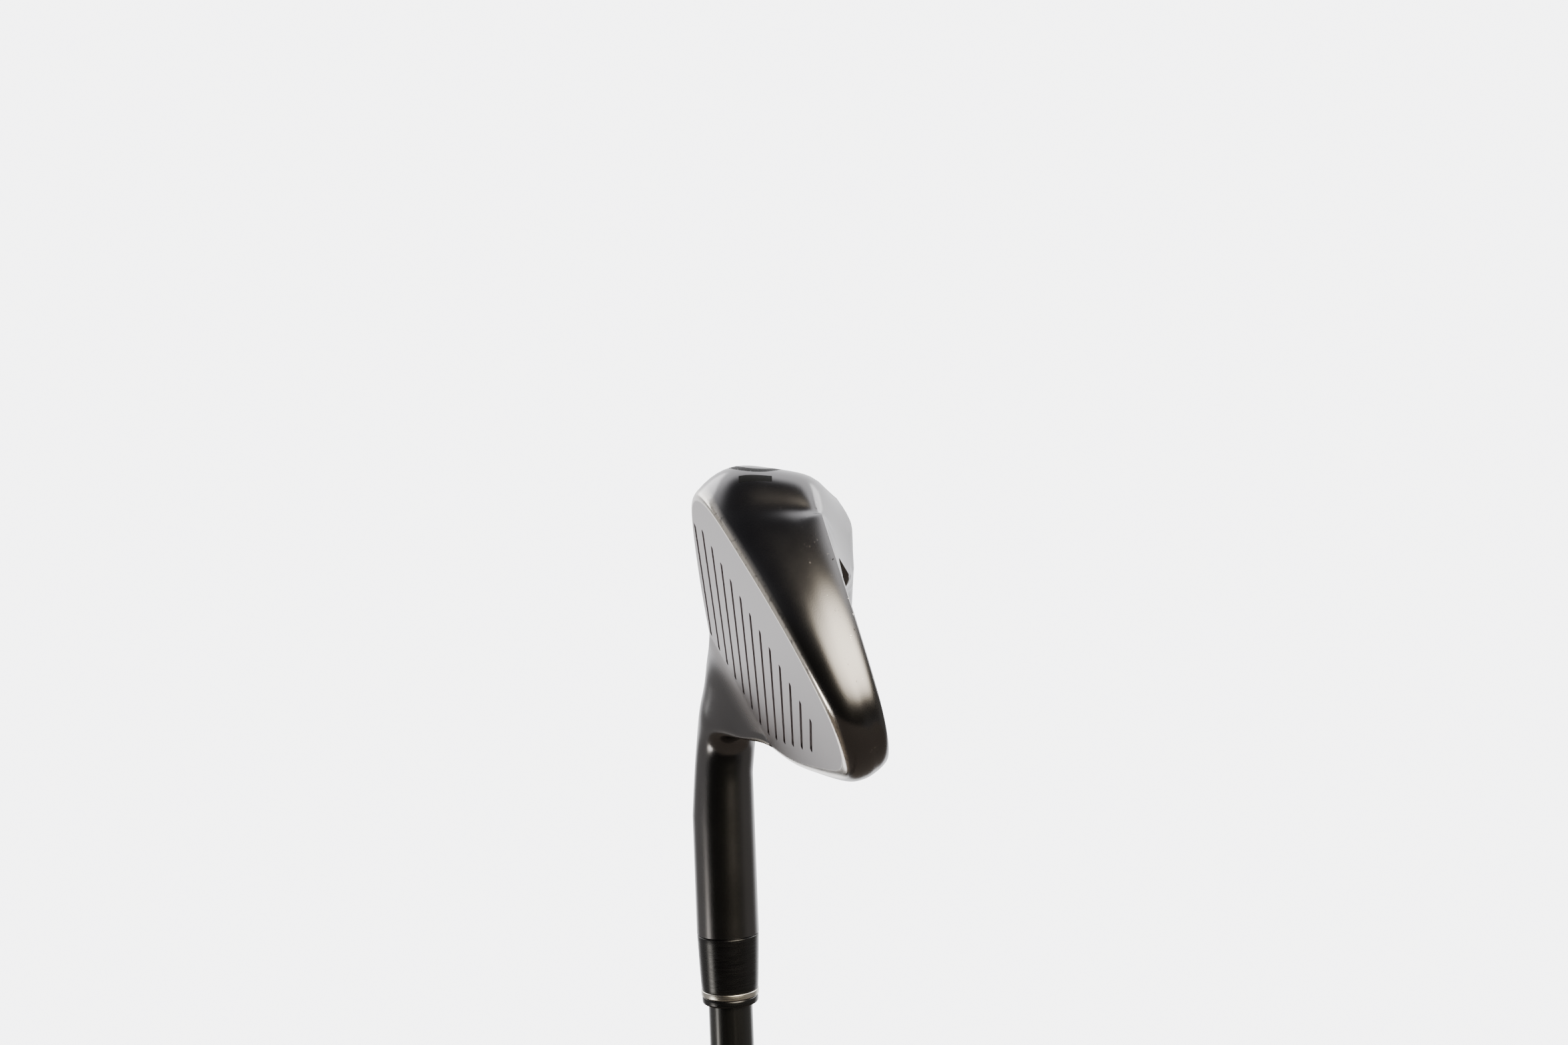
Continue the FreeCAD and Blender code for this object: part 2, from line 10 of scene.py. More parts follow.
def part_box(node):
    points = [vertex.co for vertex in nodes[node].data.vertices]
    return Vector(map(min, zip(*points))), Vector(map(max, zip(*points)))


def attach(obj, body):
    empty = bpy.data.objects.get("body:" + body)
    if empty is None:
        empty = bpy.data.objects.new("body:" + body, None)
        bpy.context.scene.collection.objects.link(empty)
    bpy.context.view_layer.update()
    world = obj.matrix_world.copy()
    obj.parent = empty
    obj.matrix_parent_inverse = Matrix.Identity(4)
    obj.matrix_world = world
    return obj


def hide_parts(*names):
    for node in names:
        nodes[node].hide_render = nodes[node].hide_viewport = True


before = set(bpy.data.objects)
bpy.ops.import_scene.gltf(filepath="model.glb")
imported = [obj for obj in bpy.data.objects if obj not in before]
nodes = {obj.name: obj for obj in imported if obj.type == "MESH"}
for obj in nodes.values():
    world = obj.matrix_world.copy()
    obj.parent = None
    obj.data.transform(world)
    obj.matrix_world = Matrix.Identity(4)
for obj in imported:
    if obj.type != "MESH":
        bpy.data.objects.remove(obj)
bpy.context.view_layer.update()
mm = 0.001
print("frame loaded:", len(nodes), "nodes")


def hexColour(text):
    channels = [int(text[k:k + 2], 16) / 255 for k in (1, 3, 5)]
    linear = [c / 12.92 if c <= 0.04045 else ((c + 0.055) / 1.055) ** 2.4 for c in channels]
    return (*linear, 1.0)


def addNode(tree, kind, settings=None, inputs=None, links=None):
    # one node with its settings, fixed inputs and incoming links; sockets by name or number
    node = tree.nodes.new(kind)
    for key, value in (settings or {}).items():
        setattr(node, key, value)
    for key, value in (inputs or {}).items():
        node.inputs[key].default_value = value
    for key, source in (links or {}).items():
        tree.links.new(source, node.inputs[key])
    return node


def smooth(t):
    t = np.clip(t, 0.0, 1.0)
    return t * t * (3 - 2 * t)


def splineAt(knots, shares):
    # natural cubic spline through the knots, read at shares of its chord length
    points = np.array(knots, float)
    steps = np.linalg.norm(np.diff(points, axis=0), axis=1)
    at = np.r_[0, np.cumsum(steps)] / steps.sum()
    gap = np.diff(at)
    count = len(points)
    left = np.eye(count)
    right = np.zeros_like(points)
    for k in range(1, count - 1):
        left[k, k - 1:k + 2] = gap[k - 1], 2 * (gap[k - 1] + gap[k]), gap[k]
        right[k] = 6 * ((points[k + 1] - points[k]) / gap[k] - (points[k] - points[k - 1]) / gap[k - 1])
    bend = np.linalg.solve(left, right)
    shares = np.clip(np.asarray(shares, float), 0, 1)
    span = np.clip(np.searchsorted(at, shares) - 1, 0, count - 2)
    low, high = (shares - at[span])[:, None], (at[span + 1] - shares)[:, None]
    width = gap[span][:, None]
    return (
        bend[span] * high**3 / (6 * width) + bend[span + 1] * low**3 / (6 * width)
        + (points[span] / width - bend[span] * width / 6) * high
        + (points[span + 1] / width - bend[span + 1] * width / 6) * low
    )


def bezierCorner(start, corner, finish, count):
    t = np.linspace(0, 1, count)[:, None]
    return (1 - t) ** 2 * start + 2 * t * (1 - t) * corner + t**2 * finish


def makePiece(name, points, faces, material, slot, replaced=(), flat=(), marks=None):
    # a mesh in metres with smooth faces, except those listed as flat; marks say where a finish or a painted
    # highlight changes
    mesh = bpy.data.meshes.new(name)
    mesh.from_pydata([tuple(p) for p in points], [], [tuple(f) for f in faces])
    flags = np.ones(len(mesh.polygons), dtype=bool)
    flags[list(flat)] = False
    mesh.polygons.foreach_set("use_smooth", flags)
    for mark, values in (marks or {}).items():
        mesh.attributes.new(mark, "FLOAT", "POINT").data.foreach_set("value", np.asarray(values, np.float32))
    mesh.materials.append(material)
    mesh.update()
    mesh.set_sharp_from_angle(angle=math.radians(42))
    piece = bpy.data.objects.new(name, mesh)
    bpy.context.scene.collection.objects.link(piece)
    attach(piece, "root")
    if replaced:
        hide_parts(*replaced)
    return piece


def turnedMesh(profile, around=128):
    # turns (radius, height) pairs in mm about the shaft axis, low end first on the outside;
    # a closed profile repeats its first pair at the end, an open one has radius 0 at both ends
    closed = np.allclose(profile[0], profile[-1])
    pairs = profile[:-1] if closed else profile
    points, faces, rings = [], [], []
    for radius, height in pairs:
        if radius < 1e-6:
            rings.append([len(points)] * around)
            points.append((0, 0, height * mm))
            continue
        rings.append(list(range(len(points), len(points) + around)))
        for k in range(around):
            turn = 2 * math.pi * k / around
            points.append((radius * mm * math.cos(turn), radius * mm * math.sin(turn), height * mm))
    steps = list(zip(rings, rings[1:] + rings[:1]))
    for low, high in steps if closed else steps[:-1]:
        for k in range(around):
            n = (k + 1) % around
            ring = [low[k], low[n], high[n], high[k]]
            faces.append([v for i, v in enumerate(ring) if v not in ring[:i]])
    return points, faces


def roundedCorners(corners, radius, count=5):
    # (radius, height) corners in mm with every corner broken by the given rounding
    spots = []
    for k, corner in enumerate(corners):
        here = np.array(corner, float)
        before, after = np.array(corners[k - 1], float), np.array(corners[(k + 1) % len(corners)], float)
        reach = min(radius, np.linalg.norm(before - here) * 0.45, np.linalg.norm(after - here) * 0.45)
        start = here + (before - here) / np.linalg.norm(before - here) * reach
        finish = here + (after - here) / np.linalg.norm(after - here) * reach
        spots += [tuple(p) for p in bezierCorner(start, here, finish, count)]
    return spots + [spots[0]]


# places on the head: x to the toe, y to the back, height over the ground, in mm; the face rises along f
headPlan = {
    "lie": math.radians(62.0),
    "loft": math.radians(26.0),
    "sideAngle": math.radians(14.0),
    "hoselEnd": 63.5,
    "hoselRadius": 6.65,
    "hoselRings": [(6.65, 38.0), (6.65, 46.0), (6.65, 55.0), (6.65, 63.25), (6.4, 63.5), (4.82, 63.5),
                   (4.82, 31.5)],
    "faceAtGround": -2.9,
    "soleWidth": 27.5,
    "trailingRise": 6.7,
    "turnFrom": 66.0,      # where along x the trailing edge starts to climb, and over what length
    "turnLength": 15.0,
    "facetRise": 5.6,      # how much the toe facet's lower edge climbs
    "facetCap": 15.0,      # and the height that it stops at
    "turnSoftness": 2.0,   # how softly the toe's edge hands over to the sole's
    "rockerRadius": 415.0,
    "rockerCentre": 36.0,
    "soleCorner": 12.5,
    "toe": 83.15,
    "toplineWidth": 7.6,
    "shelfFoot": 20.6,     # where the slope over the muscle meets the blade's back
    "shelfRise": 3.6,
    "backSlope": 0.275,    # lean of the blade's back, and how much it is scooped
    "backScoop": 0.0009,
    "muscleFrom": -12.0,   # where the muscle starts at the heel, and the length it grows over
    "muscleGrows": 28.0,
    "facetEnd": 81.5,      # toe end of the flat facet, and its length
    "facetLength": 15.0,
    "facetTall": 2.0,      # how much taller the muscle is at its toe facet
    "tallFrom": 56.0,
    "tallOver": 12.0,
    "cavityFloor": 21.4,
    "plateInset": 2.2,
    "plateThickness": 2.6,
    "frameWidth": 5.6,
    "around": 300,         # places round the blade's outline
    "bandRows": 20,
    "bladeHeel": 9.5,      # where the blade ends and the heel's sections start
    "uprightFrom": 24.0,   # from here to the heel the rows turn into planes of x
    "uprightOver": 14.5,
    "toeBevel": 0.8,       # polished break between face and toe band
    "leadingBreak": 0.95,  # rounding of the leading edge
    "soleInset": 1.2,      # rim under the plate, along the leading edge
    "toeBulge": 0.9,
    "toeCrown": 1.5,       # how far the toe band stands over a flat one
    "topCrown": 0.5,       # and how much more it does over the toe's peak
    "peakFrom": 30.0,
    "peakOver": 30.0,
    "toeFullness": 2.5,    # how square the band's crown is round the toe
    "soleFullness": (2.7, 5.5),   # and under the sole: to the face's side, to the back's
    "cornerFrom": 0.7,     # share of the band from which its back corner shows
    "cornerOver": 0.3,
    "edgeEasing": 41,      # places over which the back's edge is evened out inside the band
    "crownEasing": 17,
    "creaseBreak": 0.3,    # edge between toe band and back
    "trailingBreak": 2.2,
    "rimBreak": 0.5,       # edge of the cavity
    "heelStations": 44,
    "hoselBlend": 0.62,    # share of the heel after which its sections are round
    "facedStations": 9,    # heel stations over which the face's satin fades out
    # heel stations over which the painted highlight on the face's break fades out
    "highlightStations": 12,
    "lineRows": 30,
}
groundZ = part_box("hosel_epoxy")[0][2] / mm + headPlan["hoselEnd"]
cosLoft, sinLoft = math.cos(headPlan["loft"]), math.sin(headPlan["loft"])
cosSide, sinSide = math.cos(headPlan["sideAngle"]), math.sin(headPlan["sideAngle"])
cosLie, sinLie = math.cos(headPlan["lie"]), math.sin(headPlan["lie"])
toplineKnots = [(2.0, 26.6), (9.5, 32.75), (18.3, 38.6), (39.5, 49.7), (57.8, 58.0), (67.0, 60.8)]
outlineKnots = [
    (9.5, 3.55), (22.0, 2.9), (36.0, 2.67), (50.0, 2.95), (60.0, 3.6), (67.0, 4.7), (72.0, 6.5),
    (76.2, 9.4), (79.3, 13.4), (81.1, 18.8), (82.2, 26.0), (82.95, 33.0), (83.1, 39.5), (82.5, 46.0),
    (81.2, 51.6), (78.3, 57.2), (73.6, 60.3), (67.0, 60.9), (57.8, 58.0), (39.5, 49.7), (18.3, 38.6),
    (9.5, 32.75),
]
heelTop = [
    (6.2, 27.0), (3.4, 25.1), (1.1, 23.6), (-0.82, 22.92), (-2.89, 23.03), (-4.71, 23.95), (-6.01, 25.51),
    (-7.03, 27.4), (-8.2, 29.6), (-9.14, 31.38),
]
heelBottom = [
    (5.0, 1.1), (0.0, 1.7), (-4.5, 3.2), (-8.2, 6.0), (-11.0, 9.3), (-13.2, 12.3), (-15.26, 15.86),
    (-17.84, 20.72), (-20.89, 26.45),
]
heelBends = [(0.1, 5.5), (0.3, 4.4), (0.5, 2.2), (0.7, 0.8), (0.9, 0.0)]   # share of the heel, set-back in mm
heelFront = [(0.14, -1.6), (0.27, -2.3), (0.40, -3.4), (0.52, -4.4), (0.68, -5.1), (0.85, -5.75), (1.0, -6.2)]


def toClub(points):
    # head places (x, y, height) in mm to the club's frame in metres
    x, y, height = np.asarray(points, float).reshape(-1, 3).T
    return np.c_[sinLie * x + cosLie * height, y, groundZ + cosLie * x - sinLie * height] * mm


def onFace(x, f, depth=0.0):
    y = headPlan["faceAtGround"] + f * sinLoft + depth * cosLoft
    return np.array([x, y, f * cosLoft - depth * sinLoft])


def faceY(height):
    return headPlan["faceAtGround"] + height * sinLoft / cosLoft


def rocker(x):
    # height of the sole's lowest line: a long rocker, then the toe corner
    radius, centre, corner = headPlan["rockerRadius"], headPlan["rockerCentre"], headPlan["soleCorner"]
    start = headPlan["toe"] - corner
    height = radius - math.sqrt(radius**2 - (min(x, start) - centre) ** 2)
    if x > start:
        height += corner - math.sqrt(max(corner**2 - (x - start) ** 2, 0.0))
    return height


toplineRead = splineAt(toplineKnots, np.linspace(0, 1, 400))


def topAt(x):
    # height of the topline's front edge at x
    last = toplineKnots[-1]
    f = last[1] if x >= last[0] else float(np.interp(x, toplineRead[:, 0], toplineRead[:, 1]))
    return f * cosLoft


def backY(x, height):
    # back surface without the muscle: from the topline's back edge down, slightly scooped
    top = topAt(x)
    drop = top - headPlan["toplineWidth"] * sinSide - height
    edge = faceY(top) + headPlan["toplineWidth"] * cosSide
    return edge - headPlan["backSlope"] * drop + headPlan["backScoop"] * drop * abs(drop)


def muscleShare(x):
    # how much of its full thickness the muscle has at x
    grown = smooth((x - headPlan["muscleFrom"]) / headPlan["muscleGrows"])
    return float(grown * np.clip((headPlan["facetEnd"] - x) / headPlan["facetLength"], 0, 1))


def shelfFoot(x):
    # height at which the slope over the muscle meets the blade's back
    tall = headPlan["facetTall"] * float(smooth((x - headPlan["tallFrom"]) / headPlan["tallOver"]))
    return headPlan["shelfFoot"] + tall + rocker(x)


def muscleY(x, height):
    # back surface with the muscle standing out behind the sole; its toe end is one flat facet
    full = muscleShare(x)
    share = float(np.clip((shelfFoot(x) - height) / headPlan["shelfRise"], 0, 1))
    base = backY(x, height)
    return base + min(full, share) * (headPlan["soleWidth"] - 0.1 - base)


def outlineFrames():
    # evenly spaced outline places, the way out from each, and how much of the sole each one is
    fine = splineAt(outlineKnots, np.linspace(0, 1, 4000))
    walked = np.r_[0, np.cumsum(np.linalg.norm(np.diff(fine, axis=0), axis=1))]
    marks = np.linspace(0, walked[-1], headPlan["around"])
    spots = np.c_[np.interp(marks, walked, fine[:, 0]), np.interp(marks, walked, fine[:, 1])]
    ahead = np.gradient(spots, axis=0)
    ahead /= np.linalg.norm(ahead, axis=1)[:, None]
    normals = np.c_[ahead[:, 1], -ahead[:, 0]]
    soleShares = smooth((-normals[:, 1] - 0.2) / 0.6)
    upright = smooth((headPlan["uprightFrom"] - spots[:, 0]) / headPlan["uprightOver"])[:, None]
    straight = np.c_[np.zeros(len(spots)), np.sign(normals[:, 1])]
    outward = normals * (1 - upright) + straight * upright
    outward /= np.linalg.norm(outward, axis=1)[:, None]
    reach = 1 / np.sum(outward * normals, axis=1)
    return spots, outward, reach, soleShares


outlineSpots, outlineOut, outlineReach, soleShares = outlineFrames()


def insetSpot(k, distance):
    return outlineSpots[k] - outlineOut[k] * outlineReach[k] * distance


def plateSpot(k):
    # edge of the face plate: nearer the outline along the leading edge
    inset = headPlan["plateInset"] * (1 - soleShares[k]) + headPlan["soleInset"] * soleShares[k]
    return insetSpot(k, inset)


def meetBack(x, f, surface):
    # depth behind the face where a line square to the face meets the back surface
    depth = 8.0
    for _ in range(40):
        spot = onFace(x, f, depth)
        depth += (surface(x, spot[2]) - spot[1]) / (cosLoft + 0.25)
    return depth


def trailingEdge(k):
    # back end of the band: down the toe it is the crease with the back, then it turns along the sole
    x, f = outlineSpots[k]
    front, reach = onFace(x, f), 10.0
    for _ in range(40):
        spot = front + reach * np.array([0, cosSide, -sinSide])
        reach += (backY(x, spot[2]) - spot[1]) / (cosSide + 0.25)
    toeHeight = front[2] - reach * sinSide
    turnIn = float(np.clip((x - headPlan["turnFrom"]) / headPlan["turnLength"], 0, 1))
    soleHeight = rocker(x) + headPlan["trailingRise"] + headPlan["facetRise"] * turnIn
    soleHeight = min(soleHeight, headPlan["facetCap"])
    gap = toeHeight - soleHeight
    height = soleHeight + (gap + math.sqrt(gap * gap + headPlan["turnSoftness"])) / 2
    return np.array([x, muscleY(x, height), height])


def silhouetteReach(k, middle, outward):
    # how far the band's middle lies inside the head's outline as seen square to the toe and sole
    low, high = 0.0, 14.0   # the search runs between these, in mm
    for _ in range(30):
        reach = (low + high) / 2
        x, height = middle[0] + outward[0] * reach, middle[2] + outward[2] * reach
        ground = rocker(min(x, headPlan["toe"] - 0.01))
        inside = x < headPlan["toe"] + headPlan["toeBulge"] and height > ground
        low, high = (reach, high) if inside else (low, reach)
    return low


def easedAlong(values, width):
    # evens out a value along the outline
    weights = np.exp(-np.linspace(-2, 2, width) ** 2)
    padded = np.pad(values, width // 2, mode="edge")
    return np.convolve(padded, weights / weights.sum(), mode="valid")


def bandCrowns():
    # how far the band stands out of a flat one at each place: as a toe, and as a sole
    toeLift, soleLift = [], []
    for k in range(headPlan["around"]):
        share, outward = soleShares[k], np.array([outlineOut[k][0], 0, outlineOut[k][1]])
        middle = (onFace(*outlineSpots[k]) + softEdges[k]) / 2
        facingUp = float(smooth((outlineOut[k][1] - 0.1) / 0.8))
        peak = facingUp * float(smooth((outlineSpots[k][0] - headPlan["peakFrom"]) / headPlan["peakOver"]))
        toeLift.append((headPlan["toeCrown"] + headPlan["topCrown"] * peak) * (1 - share))
        soleLift.append(silhouetteReach(k, middle, outward) * share if share > 0 else 0.0)
    return easedAlong(toeLift, headPlan["crownEasing"]), easedAlong(soleLift, headPlan["crownEasing"])


backEdges = np.array([trailingEdge(k) for k in range(headPlan["around"])])
softEdges = np.column_stack([easedAlong(backEdges[:, axis], headPlan["edgeEasing"]) for axis in range(3)])
toeLifts, soleLifts = bandCrowns()


def bandAt(k, t):
    # band from the face's edge (0) to the back's (1): flat-crowned round the toe, full under the sole;
    # the corner where the back's edge turns only shows close to that edge
    front = onFace(*outlineSpots[k])
    outward = np.array([outlineOut[k][0], 0, outlineOut[k][1]])
    t = np.asarray(t, float)[:, None]
    cornered = smooth((t - headPlan["cornerFrom"]) / headPlan["cornerOver"])
    back = softEdges[k] + (backEdges[k] - softEdges[k]) * cornered
    swellToe = 1 - np.abs(2 * t - 1) ** headPlan["toeFullness"]
    swellSole = 1 - np.abs(2 * t - 1) ** np.where(t < 0.5, *headPlan["soleFullness"])
    return front + (back - front) * t + outward * (toeLifts[k] * swellToe + soleLifts[k] * swellSole)


def onBack(start, finish, share):
    spot = start + (finish - start) * share
    spot[1] = muscleY(spot[0], spot[2])
    return spot


def shellRow(k):
    # one closed loop round the rim: face strip, band, back, cavity wall and the seat of the face plate
    share = soleShares[k]
    lead = headPlan["toeBevel"] * (1 - share) + headPlan["leadingBreak"] * share
    trail = headPlan["creaseBreak"] * (1 - share) + headPlan["trailingBreak"] * share
    front, back = onFace(*outlineSpots[k]), backEdges[k]
    length = np.linalg.norm(back - front)
    first, last = lead / length * 0.85, 1 - trail / length   # the band between its two roundings
    ends = bandAt(k, [first, last])
    plateEdge = onFace(*plateSpot(k))
    faceStart = onFace(*insetSpot(k, lead))
    row = [plateEdge + (faceStart - plateEdge) * t for t in (0.0, 0.5, 0.94)]
    row += list(bezierCorner(faceStart, front, ends[0], 6))
    row += list(bandAt(k, np.linspace(first, last, headPlan["bandRows"])[1:-1]))

    floorF = (headPlan["cavityFloor"] + headPlan["plateThickness"] * sinLoft) / cosLoft
    cavityX, cavityF = insetSpot(k, headPlan["frameWidth"])
    rim = onFace(cavityX, cavityF, meetBack(cavityX, cavityF, muscleY))
    if rim[2] < headPlan["cavityFloor"]:           # over the muscle the cavity has a level floor
        rim = np.array([cavityX, muscleY(cavityX, headPlan["cavityFloor"]), headPlan["cavityFloor"]])
    cavityF = max(cavityF, floorF)
    rise = rim[2] - back[2]
    stands = float(smooth((rise - 1) / 4))
    rise = max(rise, 1.0)
    slopeFoot = shelfFoot(cavityX)
    crestHeight = slopeFoot - headPlan["shelfRise"] * muscleShare(back[0])
    crestShare = 0.4 + (np.clip((crestHeight - back[2]) / rise, 0.3, 0.75) - 0.4) * stands
    footShare = 0.8 + (np.clip((slopeFoot - back[2]) / rise, 0.78, 0.95) - 0.8) * stands
    crest, foot = onBack(back, rim, crestShare), onBack(back, rim, footShare)
    leave = onBack(back, rim, min(trail / max(np.linalg.norm(rim - back), 1e-6), crestShare * 0.6))
    row += list(bezierCorner(ends[1], back, leave, 6))
    row += [leave + (crest - leave) * t for t in (0.15, 0.45, 0.75)]
    row += list(bezierCorner(leave + (crest - leave) * 0.9, crest, crest + (foot - crest) * 0.15, 4))
    row += [crest + (foot - crest) * t for t in (0.4, 0.7)]
    row += list(bezierCorner(crest + (foot - crest) * 0.88, foot, foot + (rim - foot) * 0.3, 4))
    soft = min(headPlan["rimBreak"] / max(np.linalg.norm(rim - foot), 1e-6), 0.35)
    innerEdge = onFace(cavityX, cavityF, headPlan["plateThickness"])
    inwards = (innerEdge - rim) / max(np.linalg.norm(innerEdge - rim), 1e-6)
    row += list(bezierCorner(rim - (rim - foot) * soft, rim, rim + inwards * headPlan["rimBreak"], 5))
    row += [rim + (innerEdge - rim) * t for t in (0.25, 0.97)] + [innerEdge]
    seat = onFace(*plateSpot(k), headPlan["plateThickness"])
    return np.array(row + [innerEdge + (seat - innerEdge) * t for t in (0.5, 1.0)])


def heelLoop(rows, rimRow):
    # the blade's section at the heel end: up the face, over the topline, down the back, under the sole
    topRow, lowRow = rows[-1][:rimRow + 1], rows[0][:rimRow + 1]
    count = headPlan["lineRows"]
    faceLine = [lowRow[0] + (topRow[0] - lowRow[0]) * t for t in np.linspace(0, 1, count + 2)[1:-1]]
    backLine = []
    for t in np.linspace(0, 1, count + 2)[1:-1]:
        spot = topRow[-1] + (lowRow[-1] - topRow[-1]) * t
        spot[1] = muscleY(spot[0], spot[2])
        backLine.append(spot)
    return faceLine, list(topRow), backLine, list(lowRow[::-1])


def heelSections(loop):
    # sections from the blade's heel to the round hosel, one row of places each
    lowest, highest = np.argmin(loop[:, 2]), np.argmax(loop[:, 2])
    count = len(loop)
    turn = np.zeros(count)
    for start, finish, angle in ((lowest, highest, 0.0), (highest, lowest, math.pi)):
        steps = [(start + i) % count for i in range((finish - start) % count + 1)]
        ways = np.r_[0, np.cumsum(np.linalg.norm(np.diff(loop[steps], axis=0), axis=1))]
        turn[steps[:-1]] = angle + math.pi * ways[:-1] / ways[-1]
    low, high = loop[lowest, 2], loop[highest, 2]
    share = (loop[:, 2] - low) / (high - low)
    offset = loop[:, 1] - faceY(loop[:, 2])
    radius = headPlan["hoselRadius"]

    tops, bottoms = [(headPlan["bladeHeel"], high)] + heelTop, [(headPlan["bladeHeel"], low)] + heelBottom
    shares = np.linspace(0, 1, headPlan["heelStations"])[1:]
    topLine, bottomLine = splineAt(tops, shares), splineAt(bottoms, shares)
    fronts = splineAt([(0.0, loop[:, 1].min())] + heelFront, np.linspace(0, 1, 200))
    sections = []
    for top, bottom, station in zip(topLine, bottomLine, shares):
        blend = float(smooth(station / headPlan["hoselBlend"]))
        place = share * (1 - blend) + (1 - np.cos(turn)) / 2 * blend
        x = bottom[0] + (top[0] - bottom[0]) * place
        height = bottom[1] + (top[1] - bottom[1]) * place
        y = (faceY(height) + offset) * (1 - blend) - radius * np.sin(turn) * blend
        y += float(np.interp(station, *zip(*heelBends))) * blend
        nearFront = ((y.max() - y) / (y.max() - y.min())) ** 2
        y += (np.interp(station, *fronts.T) - y.min()) * nearFront
        sections.append(np.c_[x, y, height])
    for ring, t in headPlan["hoselRings"]:
        across = -np.cos(turn) * ring
        sections.append(np.c_[-cosLie * t + sinLie * across, -ring * np.sin(turn),
                              sinLie * t + cosLie * across])
    return sections


def headMesh():
    rows = np.array([shellRow(k) for k in range(headPlan["around"])])
    count, size = rows.shape[:2]
    rimRow = size - 6                      # last place of the rounding at the cavity's edge
    points = list(rows.reshape(-1, 3))
    at = lambda k, i: k * size + i % size
    faces = [[at(k, i), at(k + 1, i), at(k + 1, i + 1), at(k, i + 1)] for k in range(count - 1)
             for i in range(size)]
    faceLine, topRow, backLine, lowRow = heelLoop(rows, rimRow)
    faceIds = list(range(len(points), len(points) + len(faceLine)))
    points += faceLine
    backIds = list(range(len(points), len(points) + len(backLine)))
    points += backLine
    topIds = [at(count - 1, i) for i in range(rimRow + 1)]
    lowIds = [at(0, i) for i in range(rimRow, -1, -1)]
    loopIds = faceIds + topIds + backIds + lowIds
    wallTop = [at(count - 1, i) for i in range(rimRow, size)]
    wallLow = [at(0, i) for i in range(rimRow, size)]
    wall = [at(count - 1, 0)] + wallTop[::-1] + backIds + wallLow + [at(0, 0)] + faceIds
    faces.append(wall)
    wallFace = len(faces) - 1
    ids = loopIds
    for section in heelSections(np.array(faceLine + topRow + backLine + lowRow)):
        fresh = list(range(len(points), len(points) + len(ids)))
        points += list(section)
        n = len(ids)
        faces += [[ids[(j + 1) % n], ids[j], fresh[j], fresh[(j + 1) % n]] for j in range(n)]
        ids = fresh
    faces.append(ids[:])
    bevelHighlight, faced, knocks = (np.zeros(len(points)) for _ in range(3))
    bandStart, bandEnd = 9, 9 + headPlan["bandRows"] - 2
    for k in range(count):
        toe = 1 - soleShares[k]
        for i in range(size):
            point = at(k, i)
            faced[point] = 1.0 if i <= 3 or i >= size - 1 else 0.0
            # painted highlight on the break round the face, stronger round the toe than under the sole
            bevelHighlight[point] = np.interp(i, (2, 4, 7, 9), (0, 1, 1, 0)) * (0.35 + 0.65 * toe)
            knocks[point] = np.interp(i, (bandStart + 9, bandEnd, bandEnd + 7, bandEnd + 8),
                                      (0, 1, 1, 0)) * toe
    first = count * size + len(faceLine) + len(backLine)
    loopSize = len(loopIds)
    faced[faceIds] = 1.0
    # the face's satin and the painted highlight on its break fade out towards the hosel
    for station in range(headPlan["heelStations"] - 1):
        ids = first + station * loopSize + np.arange(loopSize)
        faced[ids[:len(faceLine)]] = float(smooth(1 - (station + 1) / headPlan["facedStations"]))
        bevelHighlight[ids] = bevelHighlight[loopIds] * float(smooth(1 - (station + 1) / headPlan["highlightStations"]))
    flat = [j * size + i for j in range(count - 1) for i in (0, 1, size - 3, size - 2, size - 1)]
    marks = {"bevelHighlight": bevelHighlight, "faced": faced, "knocks": knocks}
    return np.array(points), faces, flat + [wallFace, len(faces) - 1], marks


def newMaterial(name, hexBase, metallic, roughness):
    material = bpy.data.materials.new(name)
    material.use_nodes = True
    tree = material.node_tree
    shader = tree.nodes["Principled BSDF"]
    shader.inputs["Base Color"].default_value = hexColour(hexBase)
    shader.inputs["Metallic"].default_value = metallic
    shader.inputs["Roughness"].default_value = roughness
    return material, tree, shader


